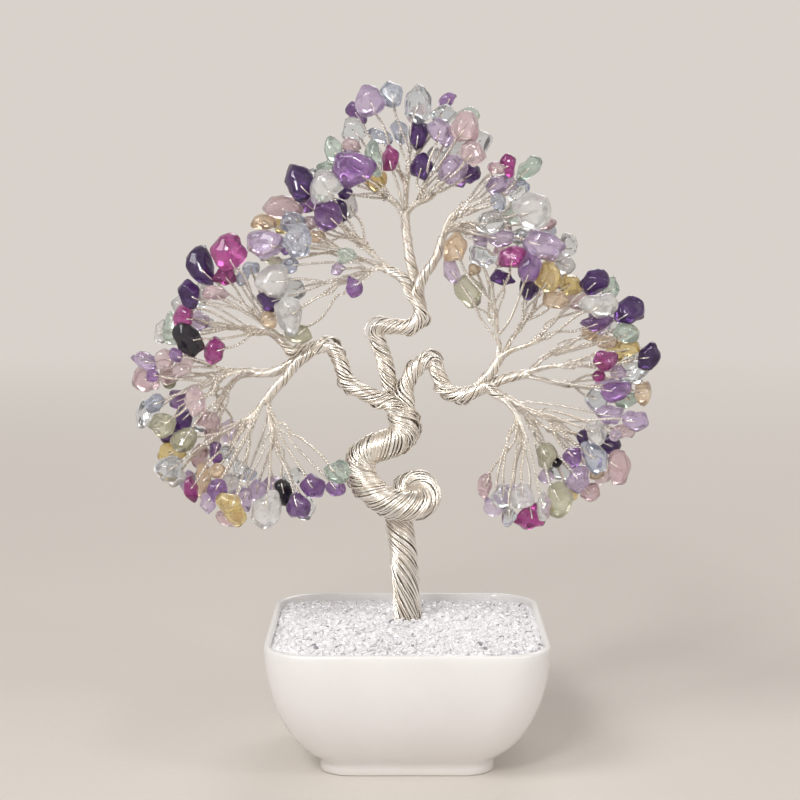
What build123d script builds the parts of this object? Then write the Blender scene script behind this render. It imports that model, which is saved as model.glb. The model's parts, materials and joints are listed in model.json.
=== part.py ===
from build123d import *
import os
from math import acos, cos, pi, radians, sin, sqrt

# A small tree of twisted wire that carries drilled gemstone chips and stands in a square glazed bowl.
# Sizes are in millimetres. X runs to the right, Y to the back and Z up from the table under the bowl.
os.makedirs("parts", exist_ok=True)

# Bowl: a square with rounded corners whose belly draws in to a low foot
bowl_width = 104.0
bowl_height = 50.0
bowl_corner_radius = 18.0
bowl_wall = 2.3
lip_bevel = 0.6
foot_width = 63.6
foot_height = 4.2
foot_corner_radius = 12.0
foot_step = 0.7
belly_height_radius = 48.5
belly_bands = 5
corner_steps = 6

# Filling: plaster grips the trunk and crushed quartz covers it
filling_gap = 0.15
plaster_top = 36.0
bed_edge_height = 46.3
bed_crest_height = 51.4
bed_lump_share = 0.04
bed_front_rise = 1.1
bed_side_parts = 3
bed_grain_height = 0.8
# each ring of the mound: how wide, and how far up from the edge to the crest
bed_ring_shares = ((0.92, 0.24), (0.8, 0.43), (0.66, 0.62), (0.51, 0.77), (0.36, 0.9), (0.2, 1.0))

# Tree: all places on it are shares of the reach, to the right, to the back and up from the bowl's rim
crown_reach = 92.8
seat_gap = 0.12
trunk_radius = 5.3
trunk_lobes = 7
trunk_pitch = 46.0
trunk_station = 4.0
trunk_socket_gap = 0.2
tail_clearance = 1.2
limb_radius = 2.85
limb_lobes = 5
limb_pitch = 26.0
limb_station = 3.6
branch_radius = 1.75
branch_sides = 6
branch_pitch = 17.0
branch_station = 4.0
stem_radius = 1.0
stem_sides = 5
stem_pitch = 13.0
stem_station = 4.2
taper_share = 0.8
lobe_depth_share = 0.11
fork_spread_share = 1.04

# Twigs and stones
twig_radius = 0.45
twig_sides = 4
twig_gap = 0.15
twig_tier = 0.85
elbow_share = 0.55
elbow_step = 1.3
elbow_tries = 5
elbow_turns = 8
clear_steps = 16
swing_degrees = (0, 40, -40, 80, -80)
wire_gap = 0.06
tier_stretch_share = 0.72
chip_size = 10.3
chip_thickness_share = 0.62
chip_back_share = 0.58
chip_front_share = 0.66
chip_wobble_share = 0.1
chip_lean_share = 0.3
big_chip_share = 1.0

# Trunk: right, back, up and how thick, from the bed round the curl to where the limbs part
trunk_shares = (
    (0.0, 0.0, 0.02, 0.94),
    (-0.004, 0.0, 0.15, 0.94),
    (-0.012, 0.0, 0.272, 0.94),
    (-0.026, 0.016, 0.372, 0.94),
    (-0.032, 0.043, 0.444, 0.95),
    (-0.02, 0.07, 0.508, 0.96),
    (0.012, 0.075, 0.548, 0.97),
    (0.054, 0.04, 0.556, 0.97),
    (0.076, -0.012, 0.53, 0.97),
    (0.052, -0.062, 0.502, 0.98),
    (0.004, -0.083, 0.496, 0.99),
    (-0.064, -0.08, 0.508, 1.0),
    (-0.128, -0.065, 0.546, 1.0),
    (-0.176, -0.043, 0.6, 1.0),
    (-0.19, -0.027, 0.652, 1.0),
    (-0.166, -0.018, 0.7, 1.0),
    (-0.112, -0.012, 0.726, 1.0),
    (-0.052, -0.006, 0.748, 1.02),
    (-0.014, 0.0, 0.778, 1.04),
    (-0.008, 0.0, 0.816, 1.04),
    (-0.022, 0.0, 0.86, 1.02),
    (-0.036, 0.0, 0.896, 1.0),
)

# Each limb: the side of the fork that it leaves from, in degrees, and its way from the trunk to its own fork
limb_shares = {
    "left_limb": (
        300,
        (
            (-0.125, -0.045, 0.926),
            (-0.185, -0.043, 0.957),
            (-0.236, -0.032, 0.992),
            (-0.26, -0.022, 1.044),
            (-0.28, -0.011, 1.096),
            (-0.306, 0.0, 1.13),
            (-0.356, 0.0, 1.132),
            (-0.416, 0.0, 1.102),
        ),
    ),
    "centre_limb": (
        60,
        (
            (-0.076, 0.035, 1.0),
            (-0.094, 0.03, 1.084),
            (-0.116, 0.02, 1.152),
            (-0.12, 0.01, 1.2),
            (-0.09, 0.0, 1.212),
            (-0.03, 0.0, 1.21),
            (0.03, 0.0, 1.222),
            (0.054, 0.0, 1.262),
            (0.046, 0.0, 1.31),
            (0.034, 0.0, 1.352),
        ),
    ),
    "right_limb": (
        180,
        (
            (0.032, 0.02, 1.036),
            (0.07, 0.02, 1.066),
            (0.104, 0.018, 1.072),
            (0.126, 0.014, 1.022),
            (0.162, 0.01, 0.956),
            (0.216, 0.005, 0.936),
            (0.276, 0.0, 0.952),
            (0.32, 0.0, 0.976),
        ),
    ),
}

# Each branch: the limb that carries it, its side of the fork and its way to its own fork
branch_shares = {
    "left_upper_branch": ("left_limb", 180, ((-0.448, 0.0, 1.11), (-0.486, 0.0, 1.136), (-0.512, 0.0, 1.164))),
    "left_outer_branch": ("left_limb", 60, ((-0.458, 0.02, 1.066), (-0.512, 0.03, 1.034), (-0.58, 0.03, 1.02), (-0.628, 0.03, 1.024))),
    "left_lower_branch": ("left_limb", 300, ((-0.456, -0.02, 1.05), (-0.496, -0.03, 1.0), (-0.54, -0.03, 0.952), (-0.564, -0.03, 0.912))),
    "centre_left_branch": ("centre_limb", 0, ((-0.012, -0.01, 1.404), (-0.06, -0.01, 1.432), (-0.092, -0.01, 1.452))),
    "centre_middle_branch": (
        "centre_limb",
        120,
        ((0.018, 0.02, 1.456), (0.004, 0.02, 1.532), (-0.004, 0.02, 1.6), (-0.008, 0.02, 1.664)),
    ),
    "centre_right_branch": ("centre_limb", 240, ((0.068, -0.02, 1.416), (0.112, -0.02, 1.48), (0.142, -0.01, 1.572))),
    "right_upper_branch": ("right_limb", 0, ((0.352, 0.0, 1.048), (0.38, 0.0, 1.096))),
    "right_middle_branch": ("right_limb", 120, ((0.388, 0.03, 0.996), (0.45, 0.03, 1.012), (0.492, 0.03, 1.02))),
    "right_lower_branch": ("right_limb", 240, ((0.364, -0.03, 0.94), (0.408, -0.03, 0.916))),
}

# Each spray: the branch that carries it, its side of the fork, the way of its stem to its tip, and its stones.
# A stone has its place to the right, back and up, its width and height as shares of the chip size,
# its turn in degrees and its kind.
spray_shares = {
    "left_upper_spray_1": (
        "left_upper_branch",
        200,
        ((-0.556, -0.03, 1.21), (-0.596, -0.06, 1.252)),
        (
            (-0.696, -0.22, 1.52, 1.28, 1.36, 0, "magenta"),
            (-0.716, -0.13, 1.424, 0.8, 0.8, 20, "magenta"),
            (-0.812, -0.1, 1.456, 0.9, 1.5, 25, "dark_amethyst"),
            (-0.852, -0.2, 1.356, 0.68, 1.08, 10, "dark_amethyst"),
            (-0.816, -0.02, 1.364, 0.6, 0.9, 0, "milky_quartz"),
            (-0.748, -0.24, 1.364, 0.96, 0.5, -5, "rose_quartz"),
            (-0.656, -0.03, 1.404, 0.5, 0.5, 15, "blue_fluorite"),
            (-0.624, 0.02, 1.444, 0.6, 0.6, 0, "blue_fluorite"),
            (-0.72, 0.12, 1.47, 0.9, 0.8, 30, "lavender"),
        ),
    ),
    "left_upper_spray_2": (
        "left_upper_branch",
        20,
        ((-0.57, 0.05, 1.186), (-0.62, 0.09, 1.196)),
        (
            (-0.9, 0.04, 1.296, 0.88, 0.64, 0, "milky_quartz"),
            (-0.848, 0.14, 1.304, 0.6, 0.56, 10, "clear_quartz"),
            (-0.884, -0.12, 1.26, 0.8, 0.72, 20, "magenta"),
            (-0.824, -0.04, 1.236, 0.64, 0.8, 0, "lavender"),
            (-0.944, 0.06, 1.192, 0.88, 1.28, 0, "green_fluorite"),
            (-0.864, -0.13, 1.172, 0.8, 1.3, 35, "onyx"),
            (-0.768, -0.06, 1.12, 0.8, 1.04, -15, "magenta"),
            (-1.0, 0.13, 1.176, 0.5, 0.9, 0, "milky_quartz"),
            (-0.84, 0.22, 1.2, 0.9, 0.8, 0, "clear_quartz"),
        ),
    ),
    "left_outer_spray_1": (
        "left_outer_branch",
        200,
        ((-0.69, 0.0, 1.03), (-0.75, -0.03, 1.012), (-0.792, -0.04, 0.996)),
        (
            (-1.044, -0.07, 1.084, 0.96, 0.72, -15, "lavender"),
            (-0.96, -0.16, 1.096, 0.7, 0.88, 10, "rose_quartz"),
            (-0.908, -0.22, 1.116, 0.44, 0.44, 0, "amethyst"),
            (-0.996, -0.22, 1.044, 0.44, 0.4, 30, "amethyst"),
            (-1.052, 0.02, 1.0, 1.12, 1.12, 10, "rose_quartz"),
            (-0.956, -0.03, 1.02, 0.8, 0.56, 0, "rose_quartz"),
            (-0.888, -0.13, 1.064, 0.6, 1.15, -40, "rose_quartz"),
            (-0.964, 0.07, 0.984, 0.6, 0.5, 0, "olive_quartz"),
            (-0.832, -0.2, 0.936, 0.76, 1.04, 0, "rose_quartz"),
            (-1.008, -0.1, 0.912, 0.72, 0.6, 20, "blue_fluorite"),
            (-1.05, 0.0, 0.856, 0.88, 0.96, 0, "clear_quartz"),
            (-0.968, -0.16, 0.832, 1.04, 0.88, -10, "olive_quartz"),
            (-0.956, 0.01, 0.784, 0.8, 0.7, 15, "dark_amethyst"),
            (-0.9, 0.0, 0.84, 0.5, 0.8, 0, "dark_amethyst"),
        ),
    ),
    "left_outer_spray_2": (
        "left_outer_branch",
        20,
        ((-0.7, 0.07, 0.99), (-0.736, 0.09, 0.952)),
        (
            (-0.804, 0.0, 0.836, 0.8, 0.72, 0, "rose_quartz"),
            (-0.79, 0.09, 0.772, 0.72, 0.88, 10, "rose_quartz"),
            (-0.772, -0.02, 0.7, 0.56, 0.96, 0, "amethyst"),
            (-0.892, -0.08, 0.764, 0.96, 0.88, 30, "olive_quartz"),
            (-0.842, 0.05, 0.684, 0.6, 1.0, 0, "rose_quartz"),
            (-0.93, 0.14, 0.9, 0.9, 0.9, 20, "amethyst"),
            (-0.87, 0.2, 0.8, 0.9, 0.8, 0, "clear_quartz"),
            (-0.73, 0.18, 0.76, 0.8, 0.9, 0, "lavender"),
        ),
    ),
    "left_lower_spray_1": (
        "left_lower_branch",
        180,
        ((-0.61, -0.04, 0.87), (-0.66, -0.06, 0.832)),
        (
            (-0.952, -0.02, 0.704, 1.04, 0.72, 10, "citrine"),
            (-0.948, -0.11, 0.652, 1.04, 1.04, 0, "clear_quartz"),
            (-0.93, -0.025, 0.61, 0.8, 0.7, -10, "milky_quartz"),
            (-0.862, -0.12, 0.576, 0.45, 0.96, 10, "magenta"),
            (-0.89, 0.05, 0.572, 0.64, 0.8, 0, "lavender"),
            (-0.822, -0.03, 0.592, 0.6, 1.2, -5, "peach"),
            (-0.764, -0.11, 0.64, 0.64, 0.44, 10, "peach"),
            (-0.76, -0.16, 0.576, 0.7, 0.76, 20, "amethyst"),
            (-0.8, -0.09, 0.512, 0.56, 0.7, 0, "lavender"),
            (-0.696, -0.2, 0.504, 0.75, 1.4, 30, "citrine"),
            (-0.716, -0.11, 0.45, 0.8, 0.6, -20, "rose_quartz"),
            (-0.716, -0.1, 0.712, 0.5, 0.6, 20, "clear_quartz"),
            (-0.668, -0.14, 0.66, 0.5, 0.6, -10, "clear_quartz"),
            (-0.72, 0.07, 0.56, 0.9, 0.8, 0, "milky_quartz"),
        ),
    ),
    "left_lower_spray_2": (
        "left_lower_branch",
        0,
        ((-0.544, -0.02, 0.83), (-0.532, -0.02, 0.76)),
        (
            (-0.656, -0.06, 0.52, 0.56, 0.88, 10, "lavender"),
            (-0.606, -0.0, 0.544, 0.64, 0.88, 0, "lavender"),
            (-0.56, -0.14, 0.488, 1.1, 1.5, -25, "milky_quartz"),
            (-0.496, -0.02, 0.544, 0.64, 1.04, 0, "onyx"),
            (-0.436, -0.12, 0.5, 0.96, 0.96, -10, "amethyst"),
            (-0.41, -0.02, 0.472, 0.84, 0.84, 20, "clear_quartz"),
            (-0.376, -0.08, 0.572, 0.88, 0.88, 10, "amethyst"),
            (-0.29, -0.02, 0.564, 0.64, 0.72, 0, "amethyst"),
            (-0.276, -0.17, 0.648, 1.1, 0.88, 15, "green_fluorite"),
            (-0.652, 0.06, 0.6, 0.64, 0.6, 0, "blue_fluorite"),
            (-0.47, 0.1, 0.58, 0.8, 0.8, 0, "clear_quartz"),
            (-0.55, 0.14, 0.54, 0.9, 0.8, 30, "lavender"),
        ),
    ),
    "centre_left_spray_1": (
        "centre_left_branch",
        180,
        ((-0.146, -0.03, 1.51), (-0.188, -0.05, 1.552)),
        (
            (-0.308, -0.15, 1.66, 0.96, 1.2, 25, "amethyst"),
            (-0.424, -0.12, 1.784, 0.9, 1.4, 15, "dark_amethyst"),
            (-0.492, -0.04, 1.684, 1.4, 0.88, -10, "rose_quartz"),
            (-0.388, -0.07, 1.632, 0.5, 0.5, 0, "rose_quartz"),
            (-0.356, -0.1, 1.576, 0.56, 0.44, 0, "peach"),
            (-0.27, -0.06, 1.68, 0.5, 0.9, 20, "dark_amethyst"),
            (-0.226, 0.02, 1.692, 0.5, 0.96, 0, "milky_quartz"),
            (-0.4, 0.03, 1.7, 0.6, 0.6, 30, "amethyst"),
            (-0.316, -0.19, 1.772, 1.3, 1.1, 35, "milky_quartz"),
            (-0.33, 0.1, 1.68, 0.9, 0.8, 0, "lavender"),
        ),
    ),
    "centre_left_spray_2": (
        "centre_left_branch",
        60,
        ((-0.17, 0.03, 1.476), (-0.236, 0.06, 1.496)),
        (
            (-0.428, -0.2, 1.56, 1.08, 1.2, 0, "blue_fluorite"),
            (-0.45, -0.11, 1.624, 0.9, 0.8, 20, "blue_fluorite"),
            (-0.572, -0.02, 1.63, 0.9, 0.56, 0, "peach"),
            (-0.508, 0.04, 1.62, 0.56, 0.64, 10, "citrine"),
            (-0.556, -0.17, 1.548, 1.36, 1.04, -10, "lavender"),
            (-0.46, -0.09, 1.464, 0.76, 0.6, 10, "blue_fluorite"),
            (-0.484, -0.02, 1.52, 0.4, 0.4, 0, "amethyst"),
            (-0.54, -0.04, 1.48, 0.7, 0.44, -10, "olive_quartz"),
            (-0.45, 0.16, 1.57, 0.9, 0.9, 0, "rose_quartz"),
            (-0.55, 0.13, 1.54, 0.8, 0.8, 0, "clear_quartz"),
        ),
    ),
    "centre_left_spray_3": (
        "centre_left_branch",
        300,
        ((-0.158, -0.04, 1.436), (-0.21, -0.06, 1.424)),
        (
            (-0.524, -0.15, 1.4, 1.24, 1.16, 10, "milky_quartz"),
            (-0.536, -0.07, 1.32, 1.1, 0.9, 0, "dark_amethyst"),
            (-0.464, -0.16, 1.272, 0.95, 1.45, 10, "milky_quartz"),
            (-0.432, -0.06, 1.188, 1.0, 0.8, -10, "olive_quartz"),
            (-0.548, -0.1, 1.25, 0.5, 0.6, 0, "peach"),
            (-0.24, -0.17, 1.5, 0.64, 0.56, 20, "green_fluorite"),
            (-0.272, -0.13, 1.452, 0.5, 0.44, 0, "lavender"),
            (-0.212, -0.14, 1.38, 0.6, 0.7, 10, "amethyst"),
            (-0.46, 0.06, 1.36, 0.9, 0.9, 0, "clear_quartz"),
        ),
    ),
    "centre_middle_spray_1": (
        "centre_middle_branch",
        345,
        ((-0.045, -0.01, 1.71), (-0.08, -0.04, 1.736)),
        (
            (-0.208, -0.2, 1.844, 1.5, 1.25, 0, "amethyst"),
            (-0.12, -0.05, 1.792, 0.85, 0.6, 15, "citrine"),
            (-0.13, -0.13, 1.884, 0.56, 1.4, 12, "green_fluorite"),
            (-0.072, -0.05, 1.88, 0.6, 0.88, 0, "magenta"),
            (-0.212, -0.06, 1.932, 0.72, 0.56, 0, "rose_quartz"),
            (-0.292, -0.1, 1.92, 0.72, 1.04, 20, "green_fluorite"),
            (-0.31, -0.03, 1.84, 0.88, 0.64, -10, "green_fluorite"),
            (-0.372, 0.0, 1.79, 0.7, 0.9, 0, "clear_quartz"),
            (-0.244, -0.07, 1.75, 0.44, 0.4, 0, "dark_amethyst"),
            (-0.2, 0.07, 1.83, 0.9, 0.8, 0, "lavender"),
        ),
    ),
    "centre_middle_spray_2": (
        "centre_middle_branch",
        105,
        ((-0.004, 0.04, 1.74), (0.004, 0.04, 1.81), (0.008, 0.04, 1.868)),
        (
            (-0.144, -0.04, 2.104, 1.0, 1.12, 10, "lavender"),
            (-0.06, 0.03, 2.132, 0.8, 1.12, 10, "blue_fluorite"),
            (0.044, -0.08, 2.09, 0.9, 1.32, 0, "clear_quartz"),
            (-0.204, 0.06, 2.06, 0.88, 0.6, -40, "amethyst"),
            (-0.212, 0.0, 1.99, 0.8, 0.9, 30, "clear_quartz"),
            (-0.11, 0.1, 1.972, 1.1, 0.5, -20, "blue_fluorite"),
            (-0.03, 0.14, 1.99, 0.6, 0.9, 20, "blue_fluorite"),
            (0.044, -0.02, 1.98, 0.76, 1.1, 0, "dark_amethyst"),
            (0.168, 0.06, 2.112, 0.8, 0.5, 30, "amethyst"),
            (0.14, -0.02, 2.056, 0.88, 0.6, 0, "clear_quartz"),
            (0.05, 0.16, 2.06, 0.9, 0.8, 0, "rose_quartz"),
        ),
    ),
    "centre_middle_spray_3": (
        "centre_middle_branch",
        225,
        ((0.04, 0.0, 1.7), (0.088, -0.02, 1.73)),
        (
            (0.056, -0.05, 1.85, 0.68, 0.96, 0, "dark_amethyst"),
            (0.112, 0.05, 1.876, 0.6, 0.9, 0, "milky_quartz"),
            (0.18, -0.08, 1.836, 0.96, 1.1, -15, "lavender"),
            (0.214, 0.04, 1.8, 0.55, 0.7, 0, "amethyst"),
            (0.256, -0.04, 1.82, 0.6, 0.76, 10, "dark_amethyst"),
            (0.252, -0.15, 1.9, 0.96, 0.84, 0, "rose_quartz"),
            (0.284, -0.06, 1.944, 0.72, 0.88, 10, "clear_quartz"),
            (0.224, -0.14, 2.0, 1.0, 1.15, -20, "rose_quartz"),
            (0.24, -0.02, 2.044, 0.9, 0.6, 10, "green_fluorite"),
            (0.13, -0.12, 1.99, 0.8, 0.88, 0, "lavender"),
            (0.16, 0.02, 1.96, 0.7, 0.6, 0, "lavender"),
            (0.2, 0.14, 1.9, 0.9, 0.9, 0, "clear_quartz"),
        ),
    ),
    "centre_right_spray_1": (
        "centre_right_branch",
        270,
        ((0.162, -0.03, 1.63), (0.196, -0.04, 1.68)),
        (
            (0.4, -0.03, 1.852, 0.45, 0.8, 0, "magenta"),
            (0.476, -0.05, 1.84, 0.7, 1.1, -35, "green_fluorite"),
            (0.352, -0.12, 1.844, 0.64, 0.5, 10, "rose_quartz"),
            (0.352, -0.04, 1.784, 0.9, 0.7, 0, "lavender"),
            (0.404, 0.05, 1.776, 0.72, 0.64, 20, "lavender"),
            (0.456, -0.06, 1.776, 0.5, 0.5, 0, "blue_fluorite"),
            (0.43, -0.14, 1.74, 0.64, 0.5, 15, "clear_quartz"),
            (0.49, -0.17, 1.676, 1.4, 1.3, -15, "milky_quartz"),
            (0.356, -0.11, 1.712, 0.56, 0.64, 0, "blue_fluorite"),
            (0.324, -0.15, 1.636, 0.94, 0.94, 0, "clear_quartz"),
        ),
    ),
    "centre_right_spray_2": (
        "centre_right_branch",
        90,
        ((0.17, 0.03, 1.6), (0.216, 0.07, 1.62)),
        (
            (0.54, 0.0, 1.628, 0.96, 0.5, 0, "rose_quartz"),
            (0.46, -0.03, 1.572, 0.96, 0.64, 10, "clear_quartz"),
            (0.576, 0.07, 1.596, 0.44, 0.64, 0, "blue_fluorite"),
            (0.54, -0.13, 1.54, 1.4, 1.0, -10, "lavender"),
            (0.64, -0.03, 1.536, 0.6, 0.9, 10, "clear_quartz"),
            (0.64, 0.12, 1.456, 0.6, 0.8, 0, "milky_quartz"),
            (0.29, -0.03, 1.56, 0.56, 0.56, 0, "lavender"),
            (0.372, -0.12, 1.568, 1.0, 0.64, 0, "lavender"),
            (0.44, 0.12, 1.66, 0.9, 0.8, 0, "green_fluorite"),
            (0.38, 0.2, 1.6, 0.9, 0.8, 0, "rose_quartz"),
            (0.5, 0.16, 1.55, 0.9, 0.8, 0, "clear_quartz"),
        ),
    ),
    "right_upper_spray_1": (
        "right_upper_branch",
        0,
        ((0.36, -0.02, 1.18), (0.356, -0.05, 1.252)),
        (
            (0.188, -0.12, 1.532, 0.96, 1.04, 0, "peach"),
            (0.18, -0.07, 1.436, 0.6, 0.95, 25, "lavender"),
            (0.244, -0.02, 1.36, 0.85, 1.3, 30, "olive_quartz"),
            (0.292, -0.2, 1.504, 1.05, 0.8, -25, "clear_quartz"),
            (0.372, -0.03, 1.496, 0.6, 0.8, 0, "rose_quartz"),
            (0.412, -0.12, 1.496, 0.92, 0.84, 10, "magenta"),
            (0.478, -0.19, 1.452, 0.76, 1.0, 0, "amethyst"),
            (0.384, -0.04, 1.408, 0.8, 0.56, 0, "dark_amethyst"),
            (0.276, 0.0, 1.444, 0.5, 0.44, 0, "peach"),
            (0.3, 0.1, 1.49, 0.9, 0.8, 0, "clear_quartz"),
        ),
    ),
    "right_upper_spray_2": (
        "right_upper_branch",
        120,
        ((0.43, 0.04, 1.17), (0.484, 0.08, 1.228)),
        (
            (0.484, 0.01, 1.368, 0.7, 0.9, 0, "dark_amethyst"),
            (0.556, -0.09, 1.416, 0.96, 1.15, 10, "citrine"),
            (0.656, 0.02, 1.384, 0.84, 0.8, 0, "citrine"),
            (0.596, -0.04, 1.32, 0.92, 0.6, 0, "peach"),
            (0.52, 0.2, 1.37, 0.9, 0.8, 0, "lavender"),
            (0.62, 0.16, 1.4, 0.9, 0.8, 0, "clear_quartz"),
            (0.56, 0.09, 1.44, 0.8, 0.7, 0, "blue_fluorite"),
        ),
    ),
    "right_upper_spray_3": (
        "right_upper_branch",
        240,
        ((0.45, -0.03, 1.128), (0.54, -0.05, 1.164)),
        (
            (0.744, -0.05, 1.392, 1.04, 0.8, 15, "dark_amethyst"),
            (0.824, 0.07, 1.36, 0.6, 0.9, 0, "green_fluorite"),
            (0.756, -0.17, 1.312, 1.35, 0.9, -5, "milky_quartz"),
            (0.756, -0.09, 1.236, 1.25, 0.56, 0, "amethyst"),
            (0.7, 0.07, 1.32, 0.9, 0.8, 0, "rose_quartz"),
        ),
    ),
    "right_middle_spray_1": (
        "right_middle_branch",
        60,
        ((0.54, 0.06, 1.07), (0.584, 0.09, 1.1)),
        (
            (0.888, -0.02, 1.276, 1.2, 0.95, 15, "dark_amethyst"),
            (0.872, -0.1, 1.196, 0.92, 0.72, 0, "green_fluorite"),
            (0.728, 0.0, 1.18, 0.5, 0.5, 0, "peach"),
            (0.796, -0.03, 1.156, 0.96, 0.6, 0, "peach"),
            (0.78, 0.14, 1.22, 0.9, 0.8, 0, "lavender"),
            (0.87, 0.21, 1.19, 0.9, 0.8, 0, "clear_quartz"),
        ),
    ),
    "right_middle_spray_2": (
        "right_middle_branch",
        300,
        ((0.56, -0.02, 1.05), (0.65, -0.05, 1.064)),
        (
            (0.884, -0.06, 1.13, 0.92, 0.66, 20, "citrine"),
            (0.85, 0.05, 1.108, 0.9, 0.8, 0, "citrine"),
            (0.964, -0.09, 1.1, 0.76, 1.05, -15, "dark_amethyst"),
            (0.776, -0.17, 1.088, 1.0, 0.72, 0, "magenta"),
            (0.836, -0.13, 1.044, 0.55, 0.5, 0, "lavender"),
            (0.93, 0.08, 1.08, 0.8, 0.8, 0, "clear_quartz"),
        ),
    ),
    "right_middle_spray_3": (
        "right_middle_branch",
        180,
        ((0.56, 0.04, 0.99), (0.652, 0.05, 0.968)),
        (
            (0.772, -0.02, 1.02, 0.45, 0.4, 0, "magenta"),
            (0.908, -0.04, 1.028, 1.0, 0.8, 0, "clear_quartz"),
            (0.832, -0.11, 0.968, 1.0, 0.84, 0, "amethyst"),
            (0.948, -0.02, 0.952, 0.78, 0.95, 0, "peach"),
            (0.9, 0.06, 0.912, 0.9, 0.6, 10, "green_fluorite"),
            (0.768, 0.04, 0.916, 0.76, 0.84, 0, "clear_quartz"),
            (0.82, 0.14, 0.95, 0.9, 0.8, 0, "lavender"),
        ),
    ),
    "right_lower_spray_1": (
        "right_lower_branch",
        330,
        ((0.46, -0.05, 0.896), (0.53, -0.07, 0.868)),
        (
            (0.808, -0.06, 0.864, 0.96, 0.84, 0, "lavender"),
            (0.904, -0.16, 0.852, 0.92, 0.76, 0, "lavender"),
            (0.744, -0.21, 0.816, 0.72, 0.92, 0, "milky_quartz"),
            (0.864, -0.08, 0.796, 0.8, 0.5, 0, "rose_quartz"),
            (0.824, -0.2, 0.796, 0.4, 0.4, 0, "lavender"),
            (0.82, -0.04, 0.736, 0.84, 0.7, 0, "dark_amethyst"),
            (0.7, -0.1, 0.784, 0.4, 0.48, 0, "dark_amethyst"),
            (0.748, -0.13, 0.7, 0.85, 1.35, 25, "blue_fluorite"),
            (0.844, -0.12, 0.66, 0.8, 1.3, -10, "rose_quartz"),
            (0.664, -0.09, 0.7, 0.6, 0.68, 0, "amethyst"),
        ),
    ),
    "right_lower_spray_2": (
        "right_lower_branch",
        90,
        ((0.47, 0.03, 0.86), (0.53, 0.07, 0.816)),
        (
            (0.762, -0.02, 0.616, 0.56, 0.44, 0, "peach"),
            (0.8, 0.05, 0.59, 0.6, 0.56, 0, "rose_quartz"),
            (0.688, -0.08, 0.604, 0.96, 1.0, 0, "lavender"),
            (0.56, -0.03, 0.688, 0.68, 1.0, 0, "olive_quartz"),
            (0.668, 0.06, 0.53, 0.56, 0.76, 0, "citrine"),
            (0.736, -0.03, 0.54, 0.72, 0.7, 0, "rose_quartz"),
            (0.608, -0.1, 0.524, 0.94, 1.25, 0, "olive_quartz"),
            (0.57, 0.03, 0.6, 0.5, 0.5, 0, "lavender"),
            (0.604, 0.03, 0.66, 0.4, 0.48, 0, "onyx"),
            (0.64, 0.16, 0.6, 0.9, 0.8, 0, "clear_quartz"),
            (0.74, 0.14, 0.68, 0.9, 0.8, 0, "amethyst"),
        ),
    ),
    "right_lower_spray_3": (
        "right_lower_branch",
        210,
        ((0.438, -0.055, 0.862), (0.468, -0.08, 0.8)),
        (
            (0.312, -0.04, 0.576, 0.6, 0.85, -15, "rose_quartz"),
            (0.38, -0.13, 0.544, 0.8, 0.8, 0, "clear_quartz"),
            (0.348, -0.05, 0.49, 0.72, 0.6, 0, "lavender"),
            (0.456, -0.18, 0.556, 0.92, 0.84, 10, "milky_quartz"),
            (0.404, -0.16, 0.472, 0.6, 0.7, 0, "clear_quartz"),
            (0.5, -0.08, 0.452, 1.2, 0.9, 20, "magenta"),
            (0.54, -0.19, 0.512, 0.56, 0.96, 0, "milky_quartz"),
            (0.43, 0.02, 0.53, 0.9, 0.8, 0, "lavender"),
        ),
    ),
}

stone_kinds = (
    "dark_amethyst",
    "amethyst",
    "lavender",
    "magenta",
    "rose_quartz",
    "clear_quartz",
    "milky_quartz",
    "green_fluorite",
    "blue_fluorite",
    "olive_quartz",
    "citrine",
    "peach",
    "onyx",
)


# Where a place on the tree lies
def place(x_share, depth_share, height_share):
    return Vector(
        x_share * crown_reach,
        depth_share * crown_reach,
        bowl_height + height_share * crown_reach,
    )


# The bowl's outside at an angle round its belly, moved inwards by an inset: half the width, height and corner
def belly_point(angle, inset):
    half_width = bowl_width / 2
    start_half_width = foot_width / 2 + foot_step
    start_angle = belly_start_angle()
    belly_reach = (half_width - start_half_width) / (1 - sin(start_angle))
    across = sin(angle) / belly_reach
    down = cos(angle) / belly_height_radius
    slant = sqrt(across * across + down * down)
    width_here = half_width - belly_reach * (1 - sin(angle))
    height_here = bowl_height - belly_height_radius * cos(angle)
    growth_share = (width_here - start_half_width) / (half_width - start_half_width)
    corner_here = foot_corner_radius + growth_share * (bowl_corner_radius - foot_corner_radius)
    inward = inset * across / slant
    return width_here - inward, height_here + inset * down / slant, corner_here - inward


def belly_start_angle():
    return acos((bowl_height - foot_height) / belly_height_radius)


# Angles round the belly from the foot to the rim
def belly_angles():
    start_angle = belly_start_angle()
    return [start_angle + (pi / 2 - start_angle) * k / belly_bands for k in range(belly_bands + 1)]


# A level square with short chords round its corners, and its straight sides in one or more parts
def rounded_square(half_width, height, corner_radius, side_parts=1):
    points = []
    straight = half_width - corner_radius
    for quarter in range(4):
        turn = quarter * pi / 2
        for step in range(corner_steps + side_parts):
            if step <= corner_steps:
                angle = step * pi / 2 / corner_steps
                x = straight + corner_radius * cos(angle)
                y = straight + corner_radius * sin(angle)
            else:
                x = straight * (1 - 2 * (step - corner_steps) / side_parts)
                y = half_width
            points.append(Vector(x * cos(turn) - y * sin(turn), x * sin(turn) + y * cos(turn), height))
    return points


# The direction of a smooth line at a point between two others
def line_direction(before, here, after):
    first = (here - before).length
    second = (after - here).length
    return ((here - before) * (second / first) + (after - here) * (first / second)) / (first + second)


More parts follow.
